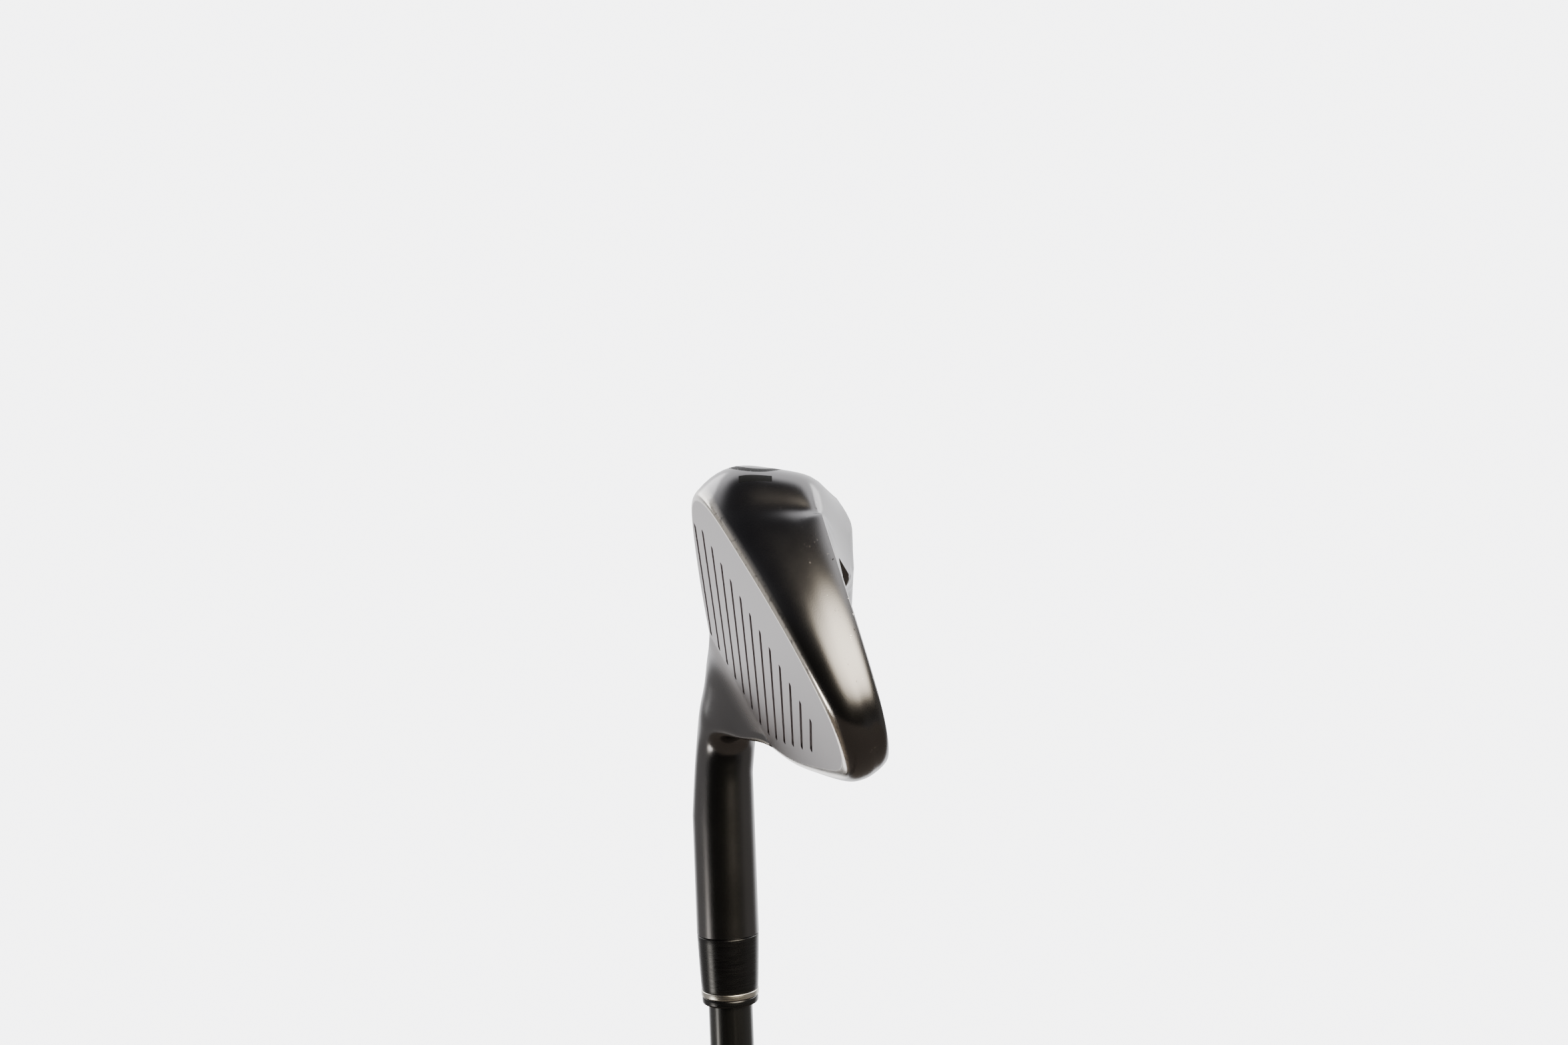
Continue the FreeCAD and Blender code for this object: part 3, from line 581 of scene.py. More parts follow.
def steelFinish():
    # satin-blasted carbon steel under black nickel: a smoky grey, paler on the face, with soft reflections.
    # Its polished break round the face carries a painted highlight, and it is knocked along the toe's back
    # edge.
    material, tree, shader = newMaterial("blackNickelSteel", "#5a5552", 1.0, 0.26)
    place = addNode(tree, "ShaderNodeTexCoord")
    spot = place.outputs["Object"]
    tone = addNode(tree, "ShaderNodeTexNoise", {}, {"Scale": 1 / (14 * mm), "Detail": 2.0}, {"Vector": spot})
    smoke = addNode(tree, "ShaderNodeMix", {"data_type": "RGBA"},
                    {6: hexColour("#787779"), 7: hexColour("#6c6a69")}, {0: tone.outputs["Fac"]})
    faced = addNode(tree, "ShaderNodeAttribute", {"attribute_name": "faced"})
    satin = addNode(tree, "ShaderNodeMix", {"data_type": "RGBA"},
                    {7: hexColour("#a7a3a3")}, {0: faced.outputs["Fac"], 6: smoke.outputs[2]})
    # painted highlight on the polished break round the face, broken up by grains of about 0.7 mm
    bevelHighlight = addNode(tree, "ShaderNodeAttribute", {"attribute_name": "bevelHighlight"})
    grains = addNode(tree, "ShaderNodeTexNoise", {}, {"Scale": 1 / (0.7 * mm), "Detail": 4.0},
                     {"Vector": spot})
    highlightBreakup = addNode(tree, "ShaderNodeMapRange", {}, {"From Min": 0.18, "From Max": 0.46},
                    {"Value": grains.outputs["Fac"]})
    highlightMask = addNode(tree, "ShaderNodeMath", {"operation": "MULTIPLY"}, {},
                     {0: bevelHighlight.outputs["Fac"], 1: highlightBreakup.outputs["Result"]})
    # near-white colour of the painted highlight on the break
    highlighted = addNode(tree, "ShaderNodeMix", {"data_type": "RGBA"},
                     {7: hexColour("#f6efe4")}, {0: highlightMask.outputs[0], 6: satin.outputs[2]})
    # knocks: ragged flecks out of 1.1 mm noise, in clusters out of 7 mm noise; bright where the steel
    # shows and dark where it is nicked
    knocks = addNode(tree, "ShaderNodeAttribute", {"attribute_name": "knocks"})
    ragged = addNode(tree, "ShaderNodeTexNoise", {},
                     {"Scale": 1 / (1.1 * mm), "Detail": 5.0, "Roughness": 0.6}, {"Vector": spot})
    fleck = addNode(tree, "ShaderNodeMapRange", {}, {"From Min": 0.66, "From Max": 0.69},
                    {"Value": ragged.outputs["Fac"]})
    nick = addNode(tree, "ShaderNodeMapRange", {}, {"From Min": 0.355, "From Max": 0.33},
                   {"Value": ragged.outputs["Fac"]})
    clusters = addNode(tree, "ShaderNodeTexNoise", {}, {"Scale": 1 / (7 * mm), "Detail": 1.0},
                       {"Vector": spot})
    crowded = addNode(tree, "ShaderNodeMapRange", {}, {"From Min": 0.46, "From Max": 0.54},
                      {"Value": clusters.outputs["Fac"]})
    where = addNode(tree, "ShaderNodeMath", {"operation": "MULTIPLY"}, {},
                    {0: crowded.outputs["Result"], 1: knocks.outputs["Fac"]})
    knocked = addNode(tree, "ShaderNodeMath", {"operation": "MULTIPLY"}, {},
                      {0: fleck.outputs["Result"], 1: where.outputs[0]})
    nicked = addNode(tree, "ShaderNodeMath", {"operation": "MULTIPLY"}, {},
                     {0: nick.outputs["Result"], 1: where.outputs[0]})
    pitted = addNode(tree, "ShaderNodeMix", {"data_type": "RGBA"},
                     {7: hexColour("#1f1c1a")}, {0: nicked.outputs[0], 6: highlighted.outputs[2]})
    chips = addNode(tree, "ShaderNodeMix", {"data_type": "RGBA"},
                    {7: hexColour("#efe9e2")}, {0: knocked.outputs[0], 6: pitted.outputs[2]})
    tree.links.new(chips.outputs[2], shader.inputs["Base Color"])
    # roughness: a slow drift over 6 mm, duller on the blasted face
    drift = addNode(tree, "ShaderNodeTexNoise", {}, {"Scale": 1 / (6 * mm), "Detail": 3.0}, {"Vector": spot})
    dull = addNode(tree, "ShaderNodeMapRange", {}, {"To Min": 0.19, "To Max": 0.25},
                   {"Value": drift.outputs["Fac"]})
    duller = addNode(tree, "ShaderNodeMix", {"data_type": "FLOAT"}, {3: 0.40},
                     {0: faced.outputs["Fac"], 2: dull.outputs["Result"]})
    sheen = addNode(tree, "ShaderNodeMix", {"data_type": "FLOAT"}, {3: 0.15},
                    {0: bevelHighlight.outputs["Fac"], 2: duller.outputs[0]})
    tree.links.new(sheen.outputs[0], shader.inputs["Roughness"])
    # blasted grain, drawn at 0.25 mm because the real 0.05 mm is too fine to show
    grit = addNode(tree, "ShaderNodeTexNoise", {}, {"Scale": 1 / (0.25 * mm), "Detail": 3.0},
                   {"Vector": spot})
    dents = addNode(tree, "ShaderNodeMath", {"operation": "MULTIPLY_ADD"}, {1: -6.0},
                    {0: knocked.outputs[0], 2: grit.outputs["Fac"]})
    bump = addNode(tree, "ShaderNodeBump", {}, {"Strength": 0.3, "Distance": 0.01 * mm},
                   {"Height": dents.outputs[0]})
    tree.links.new(bump.outputs["Normal"], shader.inputs["Normal"])
    return material


steel = steelFinish()
headPoints, headFaces, headFlat, headMarks = headMesh()
makePiece("head_shell", toClub(headPoints), headFaces, steel, "smoked_steel", ("head_body",), headFlat,
          headMarks)
headTree = BVHTree.FromPolygons([Vector(p) for p in headPoints], [list(f) for f in headFaces[:-2]])
print("head shell:", len(headFaces), "faces")


insertPlan = {
    "grooveCount": 13,
    "firstGroove": 5.39,    # up the face from the ground line
    "groovePitch": 3.68,
    "grooveWidth": 0.85,
    "grooveDepth": 0.45,
    "toeEnds": [60.0] + [63.7] * 12,
    "heelEnds": [11.2, 11.2, 11.2, 11.2, 11.2, 11.2, 11.2, 13.95, 19.7, 26.45, 33.7, 41.2, 48.7],
}


def faceInsert():
    # flat face plate with real score lines; its rim matches the head's seat place for place
    rim = [plateSpot(k) for k in range(headPlan["around"])]
    heel = [rim[-1] + (rim[0] - rim[-1]) * t for t in np.linspace(0, 1, headPlan["lineRows"] + 2)[1:-1]]
    outline = np.array(rim + heel)
    spots, edges, grooves = list(outline), [(k, (k + 1) % len(outline)) for k in range(len(outline))], []
    half = insertPlan["grooveWidth"] / 2
    for number in range(insertPlan["grooveCount"]):
        middle = insertPlan["firstGroove"] + number * insertPlan["groovePitch"]
        start, finish = insertPlan["heelEnds"][number] + half, insertPlan["toeEnds"][number] - half
        turns = np.linspace(-math.pi / 2, math.pi / 2, 7)
        loop = [(finish + half * math.cos(a), middle + half * math.sin(a)) for a in turns]
        loop += [(start - half * math.cos(a), middle - half * math.sin(a)) for a in turns]
        ids = list(range(len(spots), len(spots) + len(loop)))
        spots += [np.array(p) for p in loop]
        edges += [(ids[k], ids[(k + 1) % len(ids)]) for k in range(len(ids))]
        grooves.append((ids, start, finish, middle))
    triangles = delaunay_2d_cdt([Vector(p) for p in spots], edges, [], 1, 1e-5)[2]
    points = [onFace(*p) for p in spots]
    faces = []
    for triangle in triangles:
        x, f = np.mean([spots[v] for v in triangle], axis=0)
        inGroove = any(abs(f - m) < half and s - half < x < e + half for _, s, e, m in grooves)
        if not inGroove:
            a, b, c = (spots[v] for v in triangle)
            turned = (b[0] - a[0]) * (c[1] - a[1]) - (b[1] - a[1]) * (c[0] - a[0]) > 0
            faces.append(list(triangle) if turned else list(triangle[::-1]))
    for ids, *_ in grooves:
        low = list(range(len(points), len(points) + len(ids)))
        points += [onFace(*spots[v], insertPlan["grooveDepth"]) for v in ids]
        n = len(ids)
        faces += [[ids[(j + 1) % n], ids[j], low[j], low[(j + 1) % n]] for j in range(n)]
        faces.append(low)
    back = list(range(len(points), len(points) + len(outline)))
    points += [onFace(*p, headPlan["plateThickness"]) for p in outline]
    n = len(outline)
    faces += [[(j + 1) % n, j, back[j], back[(j + 1) % n]] for j in range(n)]
    faces.append(back[::-1])
    marks = {"faced": np.ones(len(points)), "bevelHighlight": np.zeros(len(points)), "knocks": np.zeros(len(points))}
    return makePiece("face_insert", toClub(points), faces, steel, "face_steel", ("face_plate",),
                     range(len(faces)), marks)


faceInsert()
print("face insert with", insertPlan["grooveCount"], "score lines")


numberPlan = {
    "tilt": math.radians(40),   # round the toe corner from the ground
    "foot": 2.0,
    "back": 11.1,
    "height": 11.0,
    "stroke": 1.4,
    "bowl": 0.42,         # the 6's ring, as a share of its height
    "sweep": 68.0,        # how far round its stem runs, in degrees
    "bar": 5.6,
    "gap": 1.0,
    "proud": 0.015,
    "stemSink": 0.004,    # the stem lies this much lower than the ring that it crosses
    "depth": 0.35,
    "reach": 8.0,         # how far outside the sole the strokes are laid down from
}


def paintFinish():
    # black enamel wiped into the engraving: dull and a little uneven
    material, tree, shader = newMaterial("blackEnamel", "#040404", 0.0, 0.5)
    shader.inputs["Specular IOR Level"].default_value = 0.15   # a dull, sunken fill mirrors little
    place = addNode(tree, "ShaderNodeTexCoord")
    grain = addNode(tree, "ShaderNodeTexNoise", {}, {"Scale": 1 / (0.4 * mm), "Detail": 3.0},
                    {"Vector": place.outputs["Object"]})
    rough = addNode(tree, "ShaderNodeMapRange", {}, {"To Min": 0.35, "To Max": 0.65},
                    {"Value": grain.outputs["Fac"]})
    bump = addNode(tree, "ShaderNodeBump", {}, {"Strength": 0.4, "Distance": 0.02 * mm},
                   {"Height": grain.outputs["Fac"]})
    tree.links.new(rough.outputs["Result"], shader.inputs["Roughness"])
    tree.links.new(bump.outputs["Normal"], shader.inputs["Normal"])
    return material


def paintedNumber():
    # a 6 and a bar under it, laid on the toe corner of the sole
    tilt, corner = numberPlan["tilt"], headPlan["soleCorner"]
    out = np.array([math.sin(tilt), 0, -math.cos(tilt)])
    up = np.array([-math.cos(tilt), 0, -math.sin(tilt)])
    hub = np.array([headPlan["toe"] - corner, numberPlan["back"], rocker(headPlan["toe"] - 1e-6)])
    base = hub + out * (corner + numberPlan["reach"]) - up * numberPlan["foot"]

    def onSole(right, rise, proud):
        start = base + np.array([0, right, 0]) + up * rise
        hit, normal, *_ = headTree.ray_cast(Vector(start), Vector(-out))
        normal = np.array(normal) if np.dot(normal, out) > 0 else -np.array(normal)
        return np.array(hit) + normal * proud

    bowl = numberPlan["bowl"] * numberPlan["height"]
    line = numberPlan["stroke"] / 2
    ringRadius = bowl - line
    ring = [(ringRadius * math.sin(a), bowl - ringRadius * math.cos(a))
            for a in np.linspace(0, 2 * math.pi, 49)[:-1]]
    sweep = math.radians(numberPlan["sweep"])
    tail = (numberPlan["height"] - bowl) / math.sin(sweep) - line
    stem = [(tail + line - bowl - tail * math.cos(a), bowl + tail * math.sin(a))
            for a in np.linspace(0, sweep, 22)]
    half, drop = numberPlan["bar"] / 2, numberPlan["gap"] + line
    bar = [(s, -drop) for s in np.linspace(-half, half, 16)]
    points, faces = [], []
    for path, closed, sink in ((ring, True, 0.0), (stem, False, numberPlan["stemSink"]), (bar, False, 0.0)):
        path = np.array(path)
        ahead = (np.roll(path, -1, 0) - np.roll(path, 1, 0)) if closed else np.gradient(path, axis=0)
        side = np.c_[-ahead[:, 1], ahead[:, 0]] / np.linalg.norm(ahead, axis=1)[:, None]
        start, across = len(points), np.linspace(-line, line, 5)
        for spot, aside in zip(path, side):
            tops = [onSole(*(spot + aside * s), numberPlan["proud"] - sink) for s in across]
            points += tops + [onSole(*(spot + aside * s), -numberPlan["depth"]) for s in across[::-1]]
        steps = len(path) if closed else len(path) - 1
        for j in range(steps):
            a, b = start + j * 10, start + (j + 1) % len(path) * 10
            faces += [[a + i, a + (i + 1) % 10, b + (i + 1) % 10, b + i] for i in range(10)]
        if not closed:
            last = start + (len(path) - 1) * 10
            faces += [[start + i for i in range(9, -1, -1)], [last + i for i in range(10)]]
    return makePiece("painted_number", toClub(points), faces, paintFinish(), "black_paint",
                     ("sole_number_fill",))


paintedNumber()
print("painted number")


plugPlan = {
    "x": 62.15,
    "height": 10.2,
    # radius of each ring of the plug's end, and how much lower it lies: the last one is the chamfer
    "rings": [(0.0, 0.0), (1.2, 0.0), (2.4, 0.0), (3.4, 0.0), (4.1, 0.0), (4.3, 0.0), (4.5, 0.25)],
    "around": 72,
    "depth": 3.0,
    "proud": 0.05,
    "latheStep": 0.7,
}


def plugFinish():
    # turned tungsten alloy: heavier grey than steel, with the lathe's rings drawn 0.7 mm apart, because
    # real ones are too fine to show
    material, tree, shader = newMaterial("turnedTungsten", "#8b8782", 1.0, 0.34)
    place = addNode(tree, "ShaderNodeTexCoord")
    centre = toClub([(plugPlan["x"], 0, plugPlan["height"])])[0]
    spot = addNode(tree, "ShaderNodeMapping", {},
                   {"Location": (-centre[0], 0, -centre[2]), "Scale": (1, 0, 1)},
                   {"Vector": place.outputs["Object"]})
    rings = addNode(tree, "ShaderNodeTexWave", {"wave_type": "RINGS", "rings_direction": "SPHERICAL"},
                    {"Scale": 0.32 / (plugPlan["latheStep"] * mm), "Distortion": 0.0},
                    {"Vector": spot.outputs["Vector"]})
    bump = addNode(tree, "ShaderNodeBump", {}, {"Strength": 0.3, "Distance": 0.008 * mm},
                   {"Height": rings.outputs["Fac"]})
    rough = addNode(tree, "ShaderNodeMapRange", {}, {"To Min": 0.30, "To Max": 0.38},
                    {"Value": rings.outputs["Fac"]})
    tree.links.new(bump.outputs["Normal"], shader.inputs["Normal"])
    tree.links.new(rough.outputs["Result"], shader.inputs["Roughness"])
    return material


def toePlug():
    # round weight pressed into the muscle: its end follows the muscle's back, with a small chamfer
    points, rings, n = [], [], plugPlan["around"]
    for radius, drop in plugPlan["rings"]:
        ring = []
        for a in np.linspace(0, 2 * math.pi, n + 1)[:-1] if radius else [0.0]:
            x, height = plugPlan["x"] + radius * math.cos(a), plugPlan["height"] + radius * math.sin(a)
            hit, normal, *_ = headTree.ray_cast(Vector((x, 60, height)), Vector((0, -1, 0)))
            ring.append(len(points))
            points.append(np.array(hit) + np.array([0, plugPlan["proud"] - drop, 0]))
        rings.append(ring)
    deep = [len(points) + j for j in range(n)]
    points += [points[v] - np.array([0, plugPlan["depth"], 0]) for v in rings[-1]]
    faces = [[rings[0][0], rings[1][(j + 1) % n], rings[1][j]] for j in range(n)]
    for inner, outer in zip(rings[1:], rings[2:] + [deep]):
        faces += [[inner[j], inner[(j + 1) % n], outer[(j + 1) % n], outer[j]] for j in range(n)]
    faces.append(deep)
    return makePiece("toe_plug", toClub(points), faces, plugFinish(), "tungsten", ("toe_weight",))


toePlug()
print("toe plug")


badgePlan = {
    "inset": 7.3,
    "heel": 11.3,
    "low": 4.3,           # depth behind the face where the plate starts
    "high": 5.8,
    "chamfer": 0.35,
    "frame": 1.3,         # raised frame round the dark field
    "recess": 0.35,
    "ribPitch": 2.4,
    "ribWidth": 0.8,
    "ribSlant": 0.45,     # how far a rib leans along x for each mm up the face
    "ribMiddle": 28.0,
    "ribProud": 0.22,
    "ribSunk": 0.1,
    "ribGap": 0.9,        # bare field left at each end of a rib
    "ribShortest": 2.5,   # a crossing shorter than this gets no rib
    "floor": 28.4,
    "heelSlope": 0.62,    # fall of the plate's top towards its heel end
    "cornerRadius": 1.2,
    "frameStep": 0.2,     # slope between the frame and the field
}


def badgeOutline(inset, floor, heel, rounding):
    # outline of a plate in the cavity, its two sharp corners rounded
    spots = [insetSpot(k, inset) for k in range(0, headPlan["around"], 2)]
    inside = [p for p in spots if p[1] > floor and p[0] > heel]
    first, last = inside[0], inside[-1]
    heelTopCorner = (heel, last[1] - (last[0] - heel) * badgePlan["heelSlope"])
    ring = np.array(inside + [heelTopCorner, (heel, floor), (first[0], floor)])
    rounded = []
    count = len(ring)
    for k in range(count):
        before, here, after = ring[k - 1], ring[k], ring[(k + 1) % count]
        u, v = before - here, after - here
        sharp = np.dot(u, v) / (np.linalg.norm(u) * np.linalg.norm(v) + 1e-9) > -0.9
        if sharp:
            reach = min(rounding, np.linalg.norm(u) * 0.45, np.linalg.norm(v) * 0.45)
            start = here + u / np.linalg.norm(u) * reach
            finish = here + v / np.linalg.norm(v) * reach
            rounded += list(bezierCorner(start, here, finish, 6))
        else:
            rounded.append(here)
    return np.array(rounded)


def shrunk(ring, distance):
    # the outline drawn in by a distance, place for place
    ahead = np.roll(ring, -1, 0) - np.roll(ring, 1, 0)
    ahead /= np.linalg.norm(ahead, axis=1)[:, None]
    return ring - np.c_[ahead[:, 1], -ahead[:, 0]] * distance


def badgeFinish(name, hexBase, metallic, roughness, grain):
    # anodised aluminium brushed along the blade: fine lines, softer across them
    material, tree, shader = newMaterial(name, hexBase, metallic, roughness)
    place = addNode(tree, "ShaderNodeTexCoord")
    spot = addNode(tree, "ShaderNodeMapping", {"vector_type": "POINT"},
                   {"Rotation": (0, math.radians(28), 0),
                    "Scale": (1 / (9 * mm), 1 / (grain * mm), 1 / (grain * mm))},
                   {"Vector": place.outputs["Object"]})
    lines = addNode(tree, "ShaderNodeTexNoise", {}, {"Scale": 1.0, "Detail": 3.0},
                    {"Vector": spot.outputs["Vector"]})
    rough = addNode(tree, "ShaderNodeMapRange", {}, {"To Min": roughness - 0.08, "To Max": roughness + 0.12},
                    {"Value": lines.outputs["Fac"]})
    bump = addNode(tree, "ShaderNodeBump", {}, {"Strength": 0.5, "Distance": 0.012 * mm},
                   {"Height": lines.outputs["Fac"]})
    tree.links.new(rough.outputs["Result"], shader.inputs["Roughness"])
    tree.links.new(bump.outputs["Normal"], shader.inputs["Normal"])
    return material


def cavityBadge():
    # a plate with a chamfered edge and a raised frame round a lower field
    outer = badgeOutline(badgePlan["inset"], badgePlan["floor"], badgePlan["heel"], badgePlan["cornerRadius"])
    chamfer, frameWidth, recess = badgePlan["chamfer"], badgePlan["frame"], badgePlan["recess"]
    low, high = badgePlan["low"], badgePlan["high"]
    field = shrunk(outer, frameWidth + badgePlan["frameStep"])
    loops = [
        (outer, low), (outer, high - chamfer), (shrunk(outer, chamfer), high),
        (shrunk(outer, frameWidth), high), (field, high - recess),
    ]
    points = [onFace(*p, depth) for ring, depth in loops for p in ring]
    n = len(outer)
    faces = []
    for j in range(len(loops) - 1):
        a, b = j * n, (j + 1) * n
        faces += [[a + (k + 1) % n, a + k, b + k, b + (k + 1) % n] for k in range(n)]
    faces.append([4 * n + k for k in range(n - 1, -1, -1)])
    faces.append(list(range(n)))
    material = badgeFinish("brushedAluminium", "#b4b6ba", 1.0, 0.28, 0.12)
    makePiece("cavity_badge_plate", toClub(points), faces, material, "badge_aluminium", ("cavity_badge",),
              range(len(faces)))
    return field


def badgeRibs(field):
    # raised ribs across the dark field, each one cut to the field's outline
    material = badgeFinish("darkAnodised", "#2b2c30", 1.0, 0.36, 0.2)
    depth = badgePlan["high"] - badgePlan["recess"]
    points, faces = [], []
    slant, middle = badgePlan["ribSlant"], badgePlan["ribMiddle"]
    count = len(field)
    for start in np.arange(field[:, 0].min() - 20, field[:, 0].max(), badgePlan["ribPitch"]):
        crossings = []
        for k in range(count):
            a, b = field[k], field[(k + 1) % count]
            da, db = (p[0] - slant * (p[1] - middle) - start for p in (a, b))
            if da * db < 0:
                crossings.append(a[1] + (b[1] - a[1]) * da / (da - db))
        if len(crossings) < 2 or max(crossings) - min(crossings) < badgePlan["ribShortest"]:
            continue
        f0, f1 = min(crossings) + badgePlan["ribGap"], max(crossings) - badgePlan["ribGap"]
        half, base = badgePlan["ribWidth"] / 2, len(points)
        for f, side, top in [(f, s, t) for f in (f0, f1) for s, t in ((-1, 0), (-0.6, 1), (0.6, 1), (1, 0))]:
            x = start + slant * (f - middle) + side * half
            points.append(onFace(x, f, depth + (badgePlan["ribProud"] if top else -badgePlan["ribSunk"])))
        faces += [[base, base + 1, base + 5, base + 4], [base + 1, base + 2, base + 6, base + 5],
                  [base + 2, base + 3, base + 7, base + 6], [base + 3, base, base + 4, base + 7],
                  [base + 3, base + 2, base + 1, base], [base + 4, base + 5, base + 6, base + 7]]
    makePiece("badge_ribs", toClub(points), faces, material, "badge_aluminium", (), range(len(faces)))


badgeRibs(cavityBadge())
print("cavity badge")


ferrulePlan = {
    "sleeve": (889.0, 877.3),      # heights along the shaft, hosel side first
    "ring": (877.3, 876.1),
    "collar": (876.1, 874.4),
    "hoselRadius": 6.6,
    "ringRadius": 6.15,
    "collarRadius": 6.0,
    "inside": 4.72,
}


def ferruleFinish():
    # moulded cellulose, turned and buffed: near-black, glossy, with faint wiping marks round it
    material, tree, shader = newMaterial("buffedCellulose", "#050505", 0.0, 0.24)
    place = addNode(tree, "ShaderNodeTexCoord")
    spot = addNode(tree, "ShaderNodeMapping", {},
                   {"Scale": (1 / (5 * mm), 1 / (5 * mm), 1 / (0.35 * mm))},
                   {"Vector": place.outputs["Object"]})
    wipes = addNode(tree, "ShaderNodeTexNoise", {}, {"Scale": 1.0, "Detail": 4.0},
                    {"Vector": spot.outputs["Vector"]})
    rough = addNode(tree, "ShaderNodeMapRange", {}, {"To Min": 0.16, "To Max": 0.38},
                    {"Value": wipes.outputs["Fac"]})
    tone = addNode(tree, "ShaderNodeMix", {"data_type": "RGBA"},
                   {6: hexColour("#040405"), 7: hexColour("#0e0e10")}, {0: wipes.outputs["Fac"]})
    bump = addNode(tree, "ShaderNodeBump", {}, {"Strength": 0.35, "Distance": 0.01 * mm},
                   {"Height": wipes.outputs["Fac"]})
    tree.links.new(tone.outputs[2], shader.inputs["Base Color"])
    tree.links.new(rough.outputs["Result"], shader.inputs["Roughness"])
    tree.links.new(bump.outputs["Normal"], shader.inputs["Normal"])
    return material


def ringFinish():
    # turned aluminium: pale, with the tool's lines 0.15 mm apart round it
    material, tree, shader = newMaterial("turnedAluminium", "#d6d2c8", 1.0, 0.25)
    place = addNode(tree, "ShaderNodeTexCoord")
    spot = addNode(tree, "ShaderNodeMapping", {},
                   {"Scale": (1 / (8 * mm), 1 / (8 * mm), 1 / (0.15 * mm))},
                   {"Vector": place.outputs["Object"]})
    lines = addNode(tree, "ShaderNodeTexNoise", {}, {"Scale": 1.0, "Detail": 2.0},
                    {"Vector": spot.outputs["Vector"]})
    rough = addNode(tree, "ShaderNodeMapRange", {}, {"To Min": 0.2, "To Max": 0.36},
                    {"Value": lines.outputs["Fac"]})
    bump = addNode(tree, "ShaderNodeBump", {}, {"Strength": 0.4, "Distance": 0.01 * mm},
                   {"Height": lines.outputs["Fac"]})
    tree.links.new(rough.outputs["Result"], shader.inputs["Roughness"])
    tree.links.new(bump.outputs["Normal"], shader.inputs["Normal"])
    return material


def ferrule():
    black, inside = ferruleFinish(), ferrulePlan["inside"]
    high, low = ferrulePlan["sleeve"]
    wide, narrow = ferrulePlan["hoselRadius"], ferrulePlan["ringRadius"]
    shares = np.linspace(1, 0, 9)[1:-1]
    taper = [(narrow - 0.1 + (wide - narrow + 0.1) * (1 - t) ** 0.8, low + (high - low) * (1 - t))
             for t in shares]
    corners = [(inside, low), (narrow - 0.1, low), *taper, (wide, high), (inside, high)]
    pieces = [("ferrule_taper", roundedCorners(corners, 0.22), black, "ferrule_black", "ferrule_sleeve")]
    high, low = ferrulePlan["ring"]
    corners = [(inside, low), (narrow, low), (narrow, high), (inside, high)]
    pieces.append(("ferrule_band", roundedCorners(corners, 0.18), ringFinish(), "ring_aluminium",
                   "ferrule_ring"))
    high, low = ferrulePlan["collar"]
    wide = ferrulePlan["collarRadius"]
    corners = [(inside, low), (wide, low), (wide, high), (inside, high)]
    pieces.append(("ferrule_foot", roundedCorners(corners, 0.7, 7), black, "ferrule_black", "ferrule_collar"))
    for name, profile, material, slot, node in pieces:
        makePiece(name, *turnedMesh(profile), material, slot, (node,))


ferrule()
print("ferrule")


shaftPlan = {
    "tip": 921.0,
    "taperTop": 791.0,
    "taperFoot": 267.0,
    "foot": 4.5,
    "tipRadius": 4.7,
    "buttRadius": 7.62,
    "tipBore": 2.8,
    "buttBore": 6.52,
}


def shaftFinish():
    # carbon fibre under black paint and clear lacquer: deep black, glossy, hardly any texture
    material, tree, shader = newMaterial("lacqueredCarbon", "#060606", 0.0, 0.32)
    shader.inputs["Coat Weight"].default_value = 0.6
    shader.inputs["Coat Roughness"].default_value = 0.12
    place = addNode(tree, "ShaderNodeTexCoord")
    spot = addNode(tree, "ShaderNodeMapping", {},
                   {"Scale": (1 / (0.5 * mm), 1 / (0.5 * mm), 1 / (22 * mm))},
                   {"Vector": place.outputs["Object"]})
    fibres = addNode(tree, "ShaderNodeTexNoise", {}, {"Scale": 1.0, "Detail": 3.0},
                     {"Vector": spot.outputs["Vector"]})
    tone = addNode(tree, "ShaderNodeMix", {"data_type": "RGBA"},
                   {6: hexColour("#040404"), 7: hexColour("#0a0a0b")}, {0: fibres.outputs["Fac"]})
    rough = addNode(tree, "ShaderNodeMapRange", {}, {"To Min": 0.26, "To Max": 0.4},
                    {"Value": fibres.outputs["Fac"]})
    tree.links.new(tone.outputs[2], shader.inputs["Base Color"])
    tree.links.new(rough.outputs["Result"], shader.inputs["Roughness"])
    return material


def shaftTube():
    plan = shaftPlan
    outside = [(plan["buttRadius"], plan["foot"]), (plan["buttRadius"], plan["taperFoot"])]
    for t in np.linspace(0, 1, 12)[1:]:
        radius = plan["buttRadius"] + (plan["tipRadius"] - plan["buttRadius"]) * t
        outside.append((radius, plan["taperFoot"] + (plan["taperTop"] - plan["taperFoot"]) * t))
    outside.append((plan["tipRadius"], plan["tip"]))
    inside = [(plan["tipBore"], plan["tip"]), (plan["tipBore"], plan["taperTop"]),
              (plan["buttBore"], plan["taperFoot"]), (plan["buttBore"], plan["foot"])]
    profile = outside + inside
    return makePiece("shaft_tube", *turnedMesh(profile + [profile[0]], 96), shaftFinish(), "carbon_shaft",
                     ("shaft",))


shaftTube()
print("shaft")


gripPlan = {
    "foot": 4.5,
    "mouth": 267.0,
    "footRadius": 13.2,
    "mouthRadius": 9.8,
    "relief": 0.4,         # how much lower the ground between the pads lies
    "bore": 7.87,
    "padsFrom": 22.0,
    "padsTo": 243.0,
    "padRows": 54,
    "padsRound": 20,
    "padLength": 1.75,     # half, along the grip
    "padWidth": 1.45,      # half, round the grip at its foot
    "padSunk": 0.15,       # how far the pads are set into the ground
    "padExtra": 0.12,      # how much taller than the relief a pad is
    "capRadius": 13.7,
    "capRounding": 1.4,
    "vent": 2.0,
}


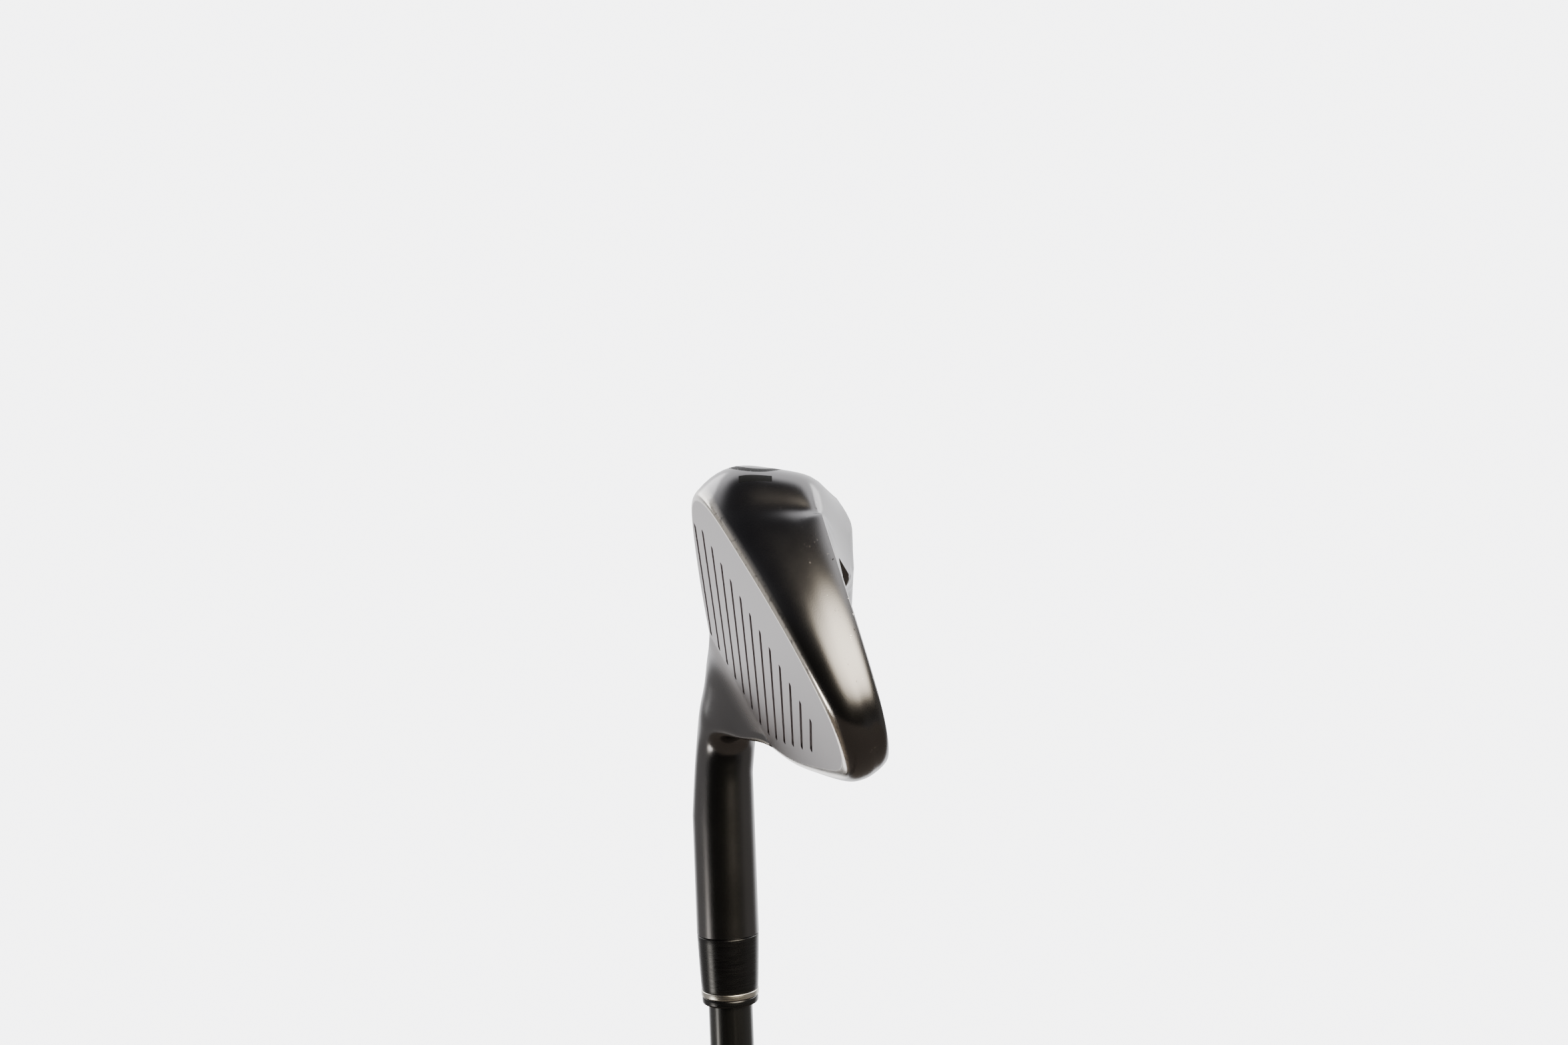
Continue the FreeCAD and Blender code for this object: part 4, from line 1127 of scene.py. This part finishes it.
def rubberFinish():
    # moulded rubber and cord compound: matt black, with a fine cast grain and rubbed spots
    material, tree, shader = newMaterial("mouldedRubber", "#151516", 0.0, 0.78)
    place = addNode(tree, "ShaderNodeTexCoord")
    spot = place.outputs["Object"]
    patches = addNode(tree, "ShaderNodeTexNoise", {}, {"Scale": 1 / (18 * mm), "Detail": 3.0},
                      {"Vector": spot})
    tone = addNode(tree, "ShaderNodeMix", {"data_type": "RGBA"},
                   {6: hexColour("#101011"), 7: hexColour("#1e1e20")}, {0: patches.outputs["Fac"]})
    rough = addNode(tree, "ShaderNodeMapRange", {}, {"To Min": 0.66, "To Max": 0.9},
                    {"Value": patches.outputs["Fac"]})
    grain = addNode(tree, "ShaderNodeTexNoise", {}, {"Scale": 1 / (0.5 * mm), "Detail": 4.0},
                    {"Vector": spot})
    bump = addNode(tree, "ShaderNodeBump", {}, {"Strength": 0.6, "Distance": 0.05 * mm},
                   {"Height": grain.outputs["Fac"]})
    tree.links.new(tone.outputs[2], shader.inputs["Base Color"])
    tree.links.new(rough.outputs["Result"], shader.inputs["Roughness"])
    tree.links.new(bump.outputs["Normal"], shader.inputs["Normal"])
    return material


def gripRadius(height):
    share = (height - gripPlan["foot"]) / (gripPlan["mouth"] - gripPlan["foot"])
    return gripPlan["footRadius"] + (gripPlan["mouthRadius"] - gripPlan["footRadius"]) * share


def gripSleeve(rubber):
    # tapered sleeve: plain bands at both ends with grooves round them, lower ground under the pads
    relief, profile = gripPlan["relief"], []
    foot, mouth = gripPlan["foot"], gripPlan["mouth"]
    marks = [(foot, 0.0), (7.0, 0.0), (7.3, 0.5), (8.5, 0.5), (8.8, 0.0), (18.5, 0.0), (19.0, relief)]
    marks += [(246.0, relief), (246.5, 0.0)]
    for ringFoot in (250.0, 254.0, 258.0):
        marks += [(ringFoot, 0.0), (ringFoot + 0.3, 0.45), (ringFoot + 1.1, 0.45), (ringFoot + 1.4, 0.0)]
    marks += [(265.2, 0.0), (266.3, 0.25), (266.9, 0.7), (mouth, 1.2)]
    for height, drop in marks:
        profile.append((gripRadius(height) - drop, height))
    profile += [(gripPlan["bore"], mouth), (gripPlan["bore"], foot)]
    return makePiece("grip_ground", *turnedMesh(profile + [profile[0]], 96), rubber, "grip_rubber",
                     ("grip_sleeve",))


def padTree(rubber):
    # rows of bevelled lozenges round a cone; sizes come in through the named inputs
    tree = bpy.data.node_groups.new("gripPads", "GeometryNodeTree")
    for name in ("Rows", "Round"):
        tree.interface.new_socket(name=name, in_out="INPUT", socket_type="NodeSocketInt")
    for name in ("From", "To", "Foot Radius", "Mouth Radius", "Pad Length", "Pad Width", "Pad Height"):
        tree.interface.new_socket(name=name, in_out="INPUT", socket_type="NodeSocketFloat")
    tree.interface.new_socket(name="Geometry", in_out="OUTPUT", socket_type="NodeSocketGeometry")
    group = addNode(tree, "NodeGroupInput").outputs
    total = addNode(tree, "ShaderNodeMath", {"operation": "MULTIPLY"}, {},
                    {0: group["Rows"], 1: group["Round"]})
    line = addNode(tree, "GeometryNodeMeshLine", {}, {}, {"Count": total.outputs[0]})
    index = addNode(tree, "GeometryNodeInputIndex")
    row = addNode(tree, "ShaderNodeMath", {"operation": "DIVIDE"}, {},
                  {0: index.outputs[0], 1: group["Round"]})
    rowWhole = addNode(tree, "ShaderNodeMath", {"operation": "FLOOR"}, {}, {0: row.outputs[0]})
    rowsLess = addNode(tree, "ShaderNodeMath", {"operation": "SUBTRACT"}, {1: 1.0}, {0: group["Rows"]})
    share = addNode(tree, "ShaderNodeMath", {"operation": "DIVIDE"}, {},
                    {0: rowWhole.outputs[0], 1: rowsLess.outputs[0]})
    height = addNode(tree, "ShaderNodeMapRange", {}, {},
                     {"Value": share.outputs[0], "To Min": group["From"], "To Max": group["To"]})
    radius = addNode(tree, "ShaderNodeMapRange", {}, {},
                     {"Value": share.outputs[0], "To Min": group["Foot Radius"],
                      "To Max": group["Mouth Radius"]})
    odd = addNode(tree, "ShaderNodeMath", {"operation": "MULTIPLY"}, {1: 0.5}, {0: rowWhole.outputs[0]})
    place = addNode(tree, "ShaderNodeMath", {"operation": "ADD"}, {},
                    {0: index.outputs[0], 1: odd.outputs[0]})
    around = addNode(tree, "ShaderNodeMath", {"operation": "DIVIDE"}, {},
                     {0: place.outputs[0], 1: group["Round"]})
    angle = addNode(tree, "ShaderNodeMath", {"operation": "MULTIPLY"}, {1: 2 * math.pi},
                    {0: around.outputs[0]})
    cosine = addNode(tree, "ShaderNodeMath", {"operation": "COSINE"}, {}, {0: angle.outputs[0]})
    sine = addNode(tree, "ShaderNodeMath", {"operation": "SINE"}, {}, {0: angle.outputs[0]})
    x = addNode(tree, "ShaderNodeMath", {"operation": "MULTIPLY"}, {},
                {0: cosine.outputs[0], 1: radius.outputs["Result"]})
    y = addNode(tree, "ShaderNodeMath", {"operation": "MULTIPLY"}, {},
                {0: sine.outputs[0], 1: radius.outputs["Result"]})
    spot = addNode(tree, "ShaderNodeCombineXYZ", {}, {},
                   {0: x.outputs[0], 1: y.outputs[0], 2: height.outputs["Result"]})
    spread = addNode(tree, "GeometryNodeSetPosition", {}, {},
                     {"Geometry": line.outputs["Mesh"], "Position": spot.outputs[0]})
    turn = addNode(tree, "ShaderNodeCombineXYZ", {}, {1: math.pi / 2}, {2: angle.outputs[0]})
    slim = addNode(tree, "ShaderNodeMath", {"operation": "DIVIDE"}, {},
                   {0: radius.outputs["Result"], 1: group["Foot Radius"]})
    wide = addNode(tree, "ShaderNodeMath", {"operation": "MULTIPLY"}, {},
                   {0: slim.outputs[0], 1: group["Pad Width"]})
    size = addNode(tree, "ShaderNodeCombineXYZ", {}, {},
                   {0: group["Pad Length"], 1: wide.outputs[0], 2: group["Pad Height"]})
    pad = addNode(tree, "GeometryNodeMeshCone", {}, {"Vertices": 4, "Side Segments": 1, "Radius Top": 0.72,
                                                     "Radius Bottom": 1.0, "Depth": 1.0})
    placed = addNode(tree, "GeometryNodeInstanceOnPoints", {}, {},
                     {"Points": spread.outputs["Geometry"], "Instance": pad.outputs["Mesh"],
                      "Rotation": turn.outputs[0], "Scale": size.outputs[0]})
    real = addNode(tree, "GeometryNodeRealizeInstances", {}, {}, {"Geometry": placed.outputs[0]})
    dressed = addNode(tree, "GeometryNodeSetMaterial", {}, {"Material": rubber},
                      {"Geometry": real.outputs[0]})
    addNode(tree, "NodeGroupOutput", {}, {}, {0: dressed.outputs[0]})
    return tree


def gripPads(rubber):
    holder = bpy.data.objects.new("padHolder", bpy.data.meshes.new("padHolder"))
    bpy.context.scene.collection.objects.link(holder)
    tree, relief = padTree(rubber), gripPlan["relief"]
    modifier = holder.modifiers.new("pads", "NODES")
    modifier.node_group = tree
    values = {
        "Rows": gripPlan["padRows"], "Round": gripPlan["padsRound"],
        "From": gripPlan["padsFrom"] * mm, "To": gripPlan["padsTo"] * mm,
        "Foot Radius": (gripRadius(gripPlan["padsFrom"]) - relief - gripPlan["padSunk"]) * mm,
        "Mouth Radius": (gripRadius(gripPlan["padsTo"]) - relief - gripPlan["padSunk"]) * mm,
        "Pad Length": gripPlan["padLength"] * mm, "Pad Width": gripPlan["padWidth"] * mm,
        "Pad Height": (relief + gripPlan["padExtra"]) * mm,
    }
    for socket in tree.interface.items_tree:
        if socket.in_out == "INPUT":
            modifier[socket.identifier] = values[socket.name]
    bpy.context.view_layer.update()
    shown = holder.evaluated_get(bpy.context.evaluated_depsgraph_get())
    mesh = bpy.data.meshes.new_from_object(shown)
    holder.modifiers.remove(modifier)
    piece = bpy.data.objects.new("grip_pads", mesh)
    bpy.context.scene.collection.objects.link(piece)
    bpy.data.objects.remove(holder)
    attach(piece, "root")
    return piece


def gripCap(rubber):
    # moulded end: rounded shoulder, a shallow ring in its face, and the vent in its middle
    wide, vent, foot = gripPlan["capRadius"], gripPlan["vent"], gripPlan["foot"]
    bend = gripPlan["capRounding"]
    corners = [(vent, 0.35), (vent + 0.6, 0.0), (8.6, 0.0), (9.0, 0.4), (9.8, 0.4), (10.2, 0.0)]
    corners += [(wide, 0.0), (wide, foot - 0.7), (wide - 0.5, foot), (vent, foot)]
    soft = roundedCorners(corners, 0.25)
    shoulder = [p for p in soft if not (p[0] > wide - 1.2 and p[1] < 1.2)]
    turn = np.linspace(-math.pi / 2, 0, 9)
    arc = [(wide - bend + bend * math.cos(a), bend + bend * math.sin(a)) for a in turn]
    at = next(i for i, p in enumerate(shoulder) if p[0] > wide - 0.01)
    profile = shoulder[:at] + arc + shoulder[at:]
    return makePiece("grip_end", *turnedMesh(profile, 96), rubber, "grip_rubber", ("grip_cap",))


rubber = rubberFinish()
gripSleeve(rubber)
gripPads(rubber)
gripCap(rubber)
print("grip")


def plainFinish(name, hexLow, hexHigh, metallic, roughness, grain, depth):
    # an even material with a slow change of tone and a fine grain; grain and depth are in mm
    material, tree, shader = newMaterial(name, hexLow, metallic, roughness)
    place = addNode(tree, "ShaderNodeTexCoord")
    noise = addNode(tree, "ShaderNodeTexNoise", {}, {"Scale": 1 / (grain * mm), "Detail": 4.0},
                    {"Vector": place.outputs["Object"]})
    tone = addNode(tree, "ShaderNodeMix", {"data_type": "RGBA"},
                   {6: hexColour(hexLow), 7: hexColour(hexHigh)}, {0: noise.outputs["Fac"]})
    rough = addNode(tree, "ShaderNodeMapRange", {}, {"To Min": roughness - 0.06, "To Max": roughness + 0.08},
                    {"Value": noise.outputs["Fac"]})
    bump = addNode(tree, "ShaderNodeBump", {}, {"Strength": 0.5, "Distance": depth * mm},
                   {"Height": noise.outputs["Fac"]})
    tree.links.new(tone.outputs[2], shader.inputs["Base Color"])
    tree.links.new(rough.outputs["Result"], shader.inputs["Roughness"])
    tree.links.new(bump.outputs["Normal"], shader.inputs["Normal"])
    return material


# what is hidden inside keeps its CAD shape and gets its own finish
hiddenFinishes = {
    # cured epoxy glue: amber-grey, slightly glassy
    "hosel_epoxy": plainFinish("curedEpoxy", "#3d372b", "#5c523c", 0.0, 0.35, 1.5, 0.03),
    # turned brass: yellow, lightly tarnished
    "tip_weight": plainFinish("turnedBrass", "#b08d4a", "#c9a765", 1.0, 0.3, 0.6, 0.02),
    # crepe paper tape: dry and matt
    "grip_tape": plainFinish("creasedPaperTape", "#b9a780", "#cdbd98", 0.0, 0.85, 3.0, 0.06),
    # black acrylic foam tape: matt
    "badge_tape": plainFinish("foamTape", "#20201f", "#2d2d2b", 0.0, 0.85, 0.8, 0.04),
    # damping polymer: soft, black and matt
    "damping_pad": plainFinish("dampingRubber", "#18181a", "#242427", 0.0, 0.7, 1.2, 0.04),
}
for name, finish in hiddenFinishes.items():
    nodes[name].data.materials.clear()
    nodes[name].data.materials.append(finish)
print("hidden pieces finished")


stagePlan = {
    "reach": 1.7,         # floor's radius in metres
    "under": 0.0005,      # and how far it lies under the grip's cap
    "paper": ("#3c3733", "#443e39"),   # dark brown paper, as reflections and light meet it
    "floor": "#e9e9ea",   # the pale tone that is added where the camera sees the paper
    "floorGlow": 4.0,
    "sky": "#f1f1f3",     # the backdrop as the camera sees it, and its brightness
    "seen": 6.5,
}


def studioFloor():
    # a round sheet of matt paper; camera rays alone see it pale
    mesh = bpy.data.meshes.new("studio_floor")
    reach, count = stagePlan["reach"], 96
    turns = np.linspace(0, 2 * math.pi, count + 1)[:-1]
    ring = [(reach * math.cos(a), reach * math.sin(a), -stagePlan["under"]) for a in turns]
    mesh.from_pydata(ring, [], [list(range(count))])
    material = plainFinish("paperSweep", *stagePlan["paper"], 0.0, 0.9, 30.0, 0.02)
    tree = material.node_tree
    seen = addNode(tree, "ShaderNodeLightPath")
    glow = addNode(tree, "ShaderNodeMath", {"operation": "MULTIPLY"}, {1: stagePlan["floorGlow"]},
                   {0: seen.outputs["Is Camera Ray"]})
    shader = tree.nodes["Principled BSDF"]
    shader.inputs["Emission Color"].default_value = hexColour(stagePlan["floor"])
    tree.links.new(glow.outputs[0], shader.inputs["Emission Strength"])
    mesh.materials.append(material)
    floor = bpy.data.objects.new("studio_floor", mesh)
    bpy.context.scene.collection.objects.link(floor)


# soft surroundings: bright behind the club, dim at the sides and on the camera's, one soft window
surroundings = {
    "base": ("#f4f4f6", 2.4),
    "patches": [   # direction, half-width and softness in degrees, colour, brightness
        ((0.0, 1.0, -0.1), 46, 16, "#c9c4be", 0.38),
        ((0.0, -1.0, -0.1), 52, 16, "#cfccca", 0.60),
        ((1.0, 0.0, 0.0), 66, 20, "#aaa8a4", 0.05),
        ((0.42, -0.1, 0.90), 38, 12, "#9fa2b4", 0.10),
        ((0.24, -0.86, -0.45), 9, 5, "#fffaf2", 9.0),
        ((0.72, 0.46, 0.50), 21, 11, "#fff3dc", 14.0),
    ],
}


def studioWorld():
    world = bpy.data.worlds.new("studio")
    bpy.context.scene.world = world
    world.use_nodes = True
    tree = world.node_tree
    tree.nodes.clear()
    place = addNode(tree, "ShaderNodeTexCoord")
    direction = addNode(tree, "ShaderNodeVectorMath", {"operation": "NORMALIZE"}, {},
                        {0: place.outputs["Generated"]})
    colour = addNode(tree, "ShaderNodeMix", {"data_type": "RGBA", "clamp_factor": False}, {0: 0.0})
    level = [c * surroundings["base"][1] for c in hexColour(surroundings["base"][0])[:3]] + [1.0]
    colour.inputs[6].default_value = level
    source = colour.outputs[2]
    for towards, halfWidth, softness, hexText, strength in surroundings["patches"]:
        aim = Vector(towards).normalized()
        near = addNode(tree, "ShaderNodeVectorMath", {"operation": "DOT_PRODUCT"}, {1: tuple(aim)},
                       {0: direction.outputs[0]})
        edges = [math.cos(math.radians(halfWidth + softness)),
                 math.cos(math.radians(max(halfWidth - softness, 0)))]
        patch = addNode(tree, "ShaderNodeMapRange", {"interpolation_type": "SMOOTHSTEP"},
                        {"From Min": edges[0], "From Max": edges[1]}, {"Value": near.outputs["Value"]})
        tone = [c * strength for c in hexColour(hexText)[:3]] + [1.0]
        source = addNode(tree, "ShaderNodeMix", {"data_type": "RGBA"}, {7: tone},
                         {0: patch.outputs["Result"], 6: source}).outputs[2]
    glow = addNode(tree, "ShaderNodeBackground", {}, {"Strength": 1.0}, {"Color": source})
    plain = addNode(tree, "ShaderNodeBackground", {},
                    {"Color": hexColour(stagePlan["sky"]), "Strength": stagePlan["seen"]})
    path = addNode(tree, "ShaderNodeLightPath")
    both = addNode(tree, "ShaderNodeMixShader", {}, {},
                   {0: path.outputs["Is Camera Ray"], 1: glow.outputs[0], 2: plain.outputs[0]})
    addNode(tree, "ShaderNodeOutputWorld", {}, {}, {"Surface": both.outputs[0]})


lampPlan = {   # place in metres, watts, size in metres
    "left": ((-0.9, -1.0, 1.7), 14.0, 1.0),
    "right": ((-0.7, 1.2, 1.6), 14.0, 1.0),
}
lampAim = (0.045, 0.01, 0.94)   # the head's middle


def softLamps():
    aim = Vector(lampAim)
    for name, (place, power, size) in lampPlan.items():
        data = bpy.data.lights.new(name, "AREA")
        data.energy, data.size = power, size
        lamp = bpy.data.objects.new(name, data)
        lamp.location = place
        lamp.rotation_euler = (aim - Vector(place)).to_track_quat("-Z", "Y").to_euler()
        bpy.context.scene.collection.objects.link(lamp)


studioFloor()
studioWorld()
softLamps()

cameraPlan = {
    "place": (345.618, 16.996, groundZ + 22.671),
    "lens": 37.068,
    "turn": (90 + 0.2885, 90 + 0.183, -2.142),   # swing, tilt and roll in degrees
}
cameraData = bpy.data.cameras.new("camera")
cameraData.lens = cameraPlan["lens"]
cameraData.sensor_width = 36.0
cameraData.clip_start = 0.01
camera = bpy.data.objects.new("camera", cameraData)
swing, tilt, roll = (math.radians(a) for a in cameraPlan["turn"])
camera.matrix_world = (
    Matrix.Translation([v * mm for v in cameraPlan["place"]])
    @ Matrix.Rotation(swing, 4, "Z") @ Matrix.Rotation(tilt, 4, "X") @ Matrix.Rotation(roll, 4, "Z")
)
bpy.context.scene.collection.objects.link(camera)
bpy.context.scene.camera = camera
print("stage, lights and camera")
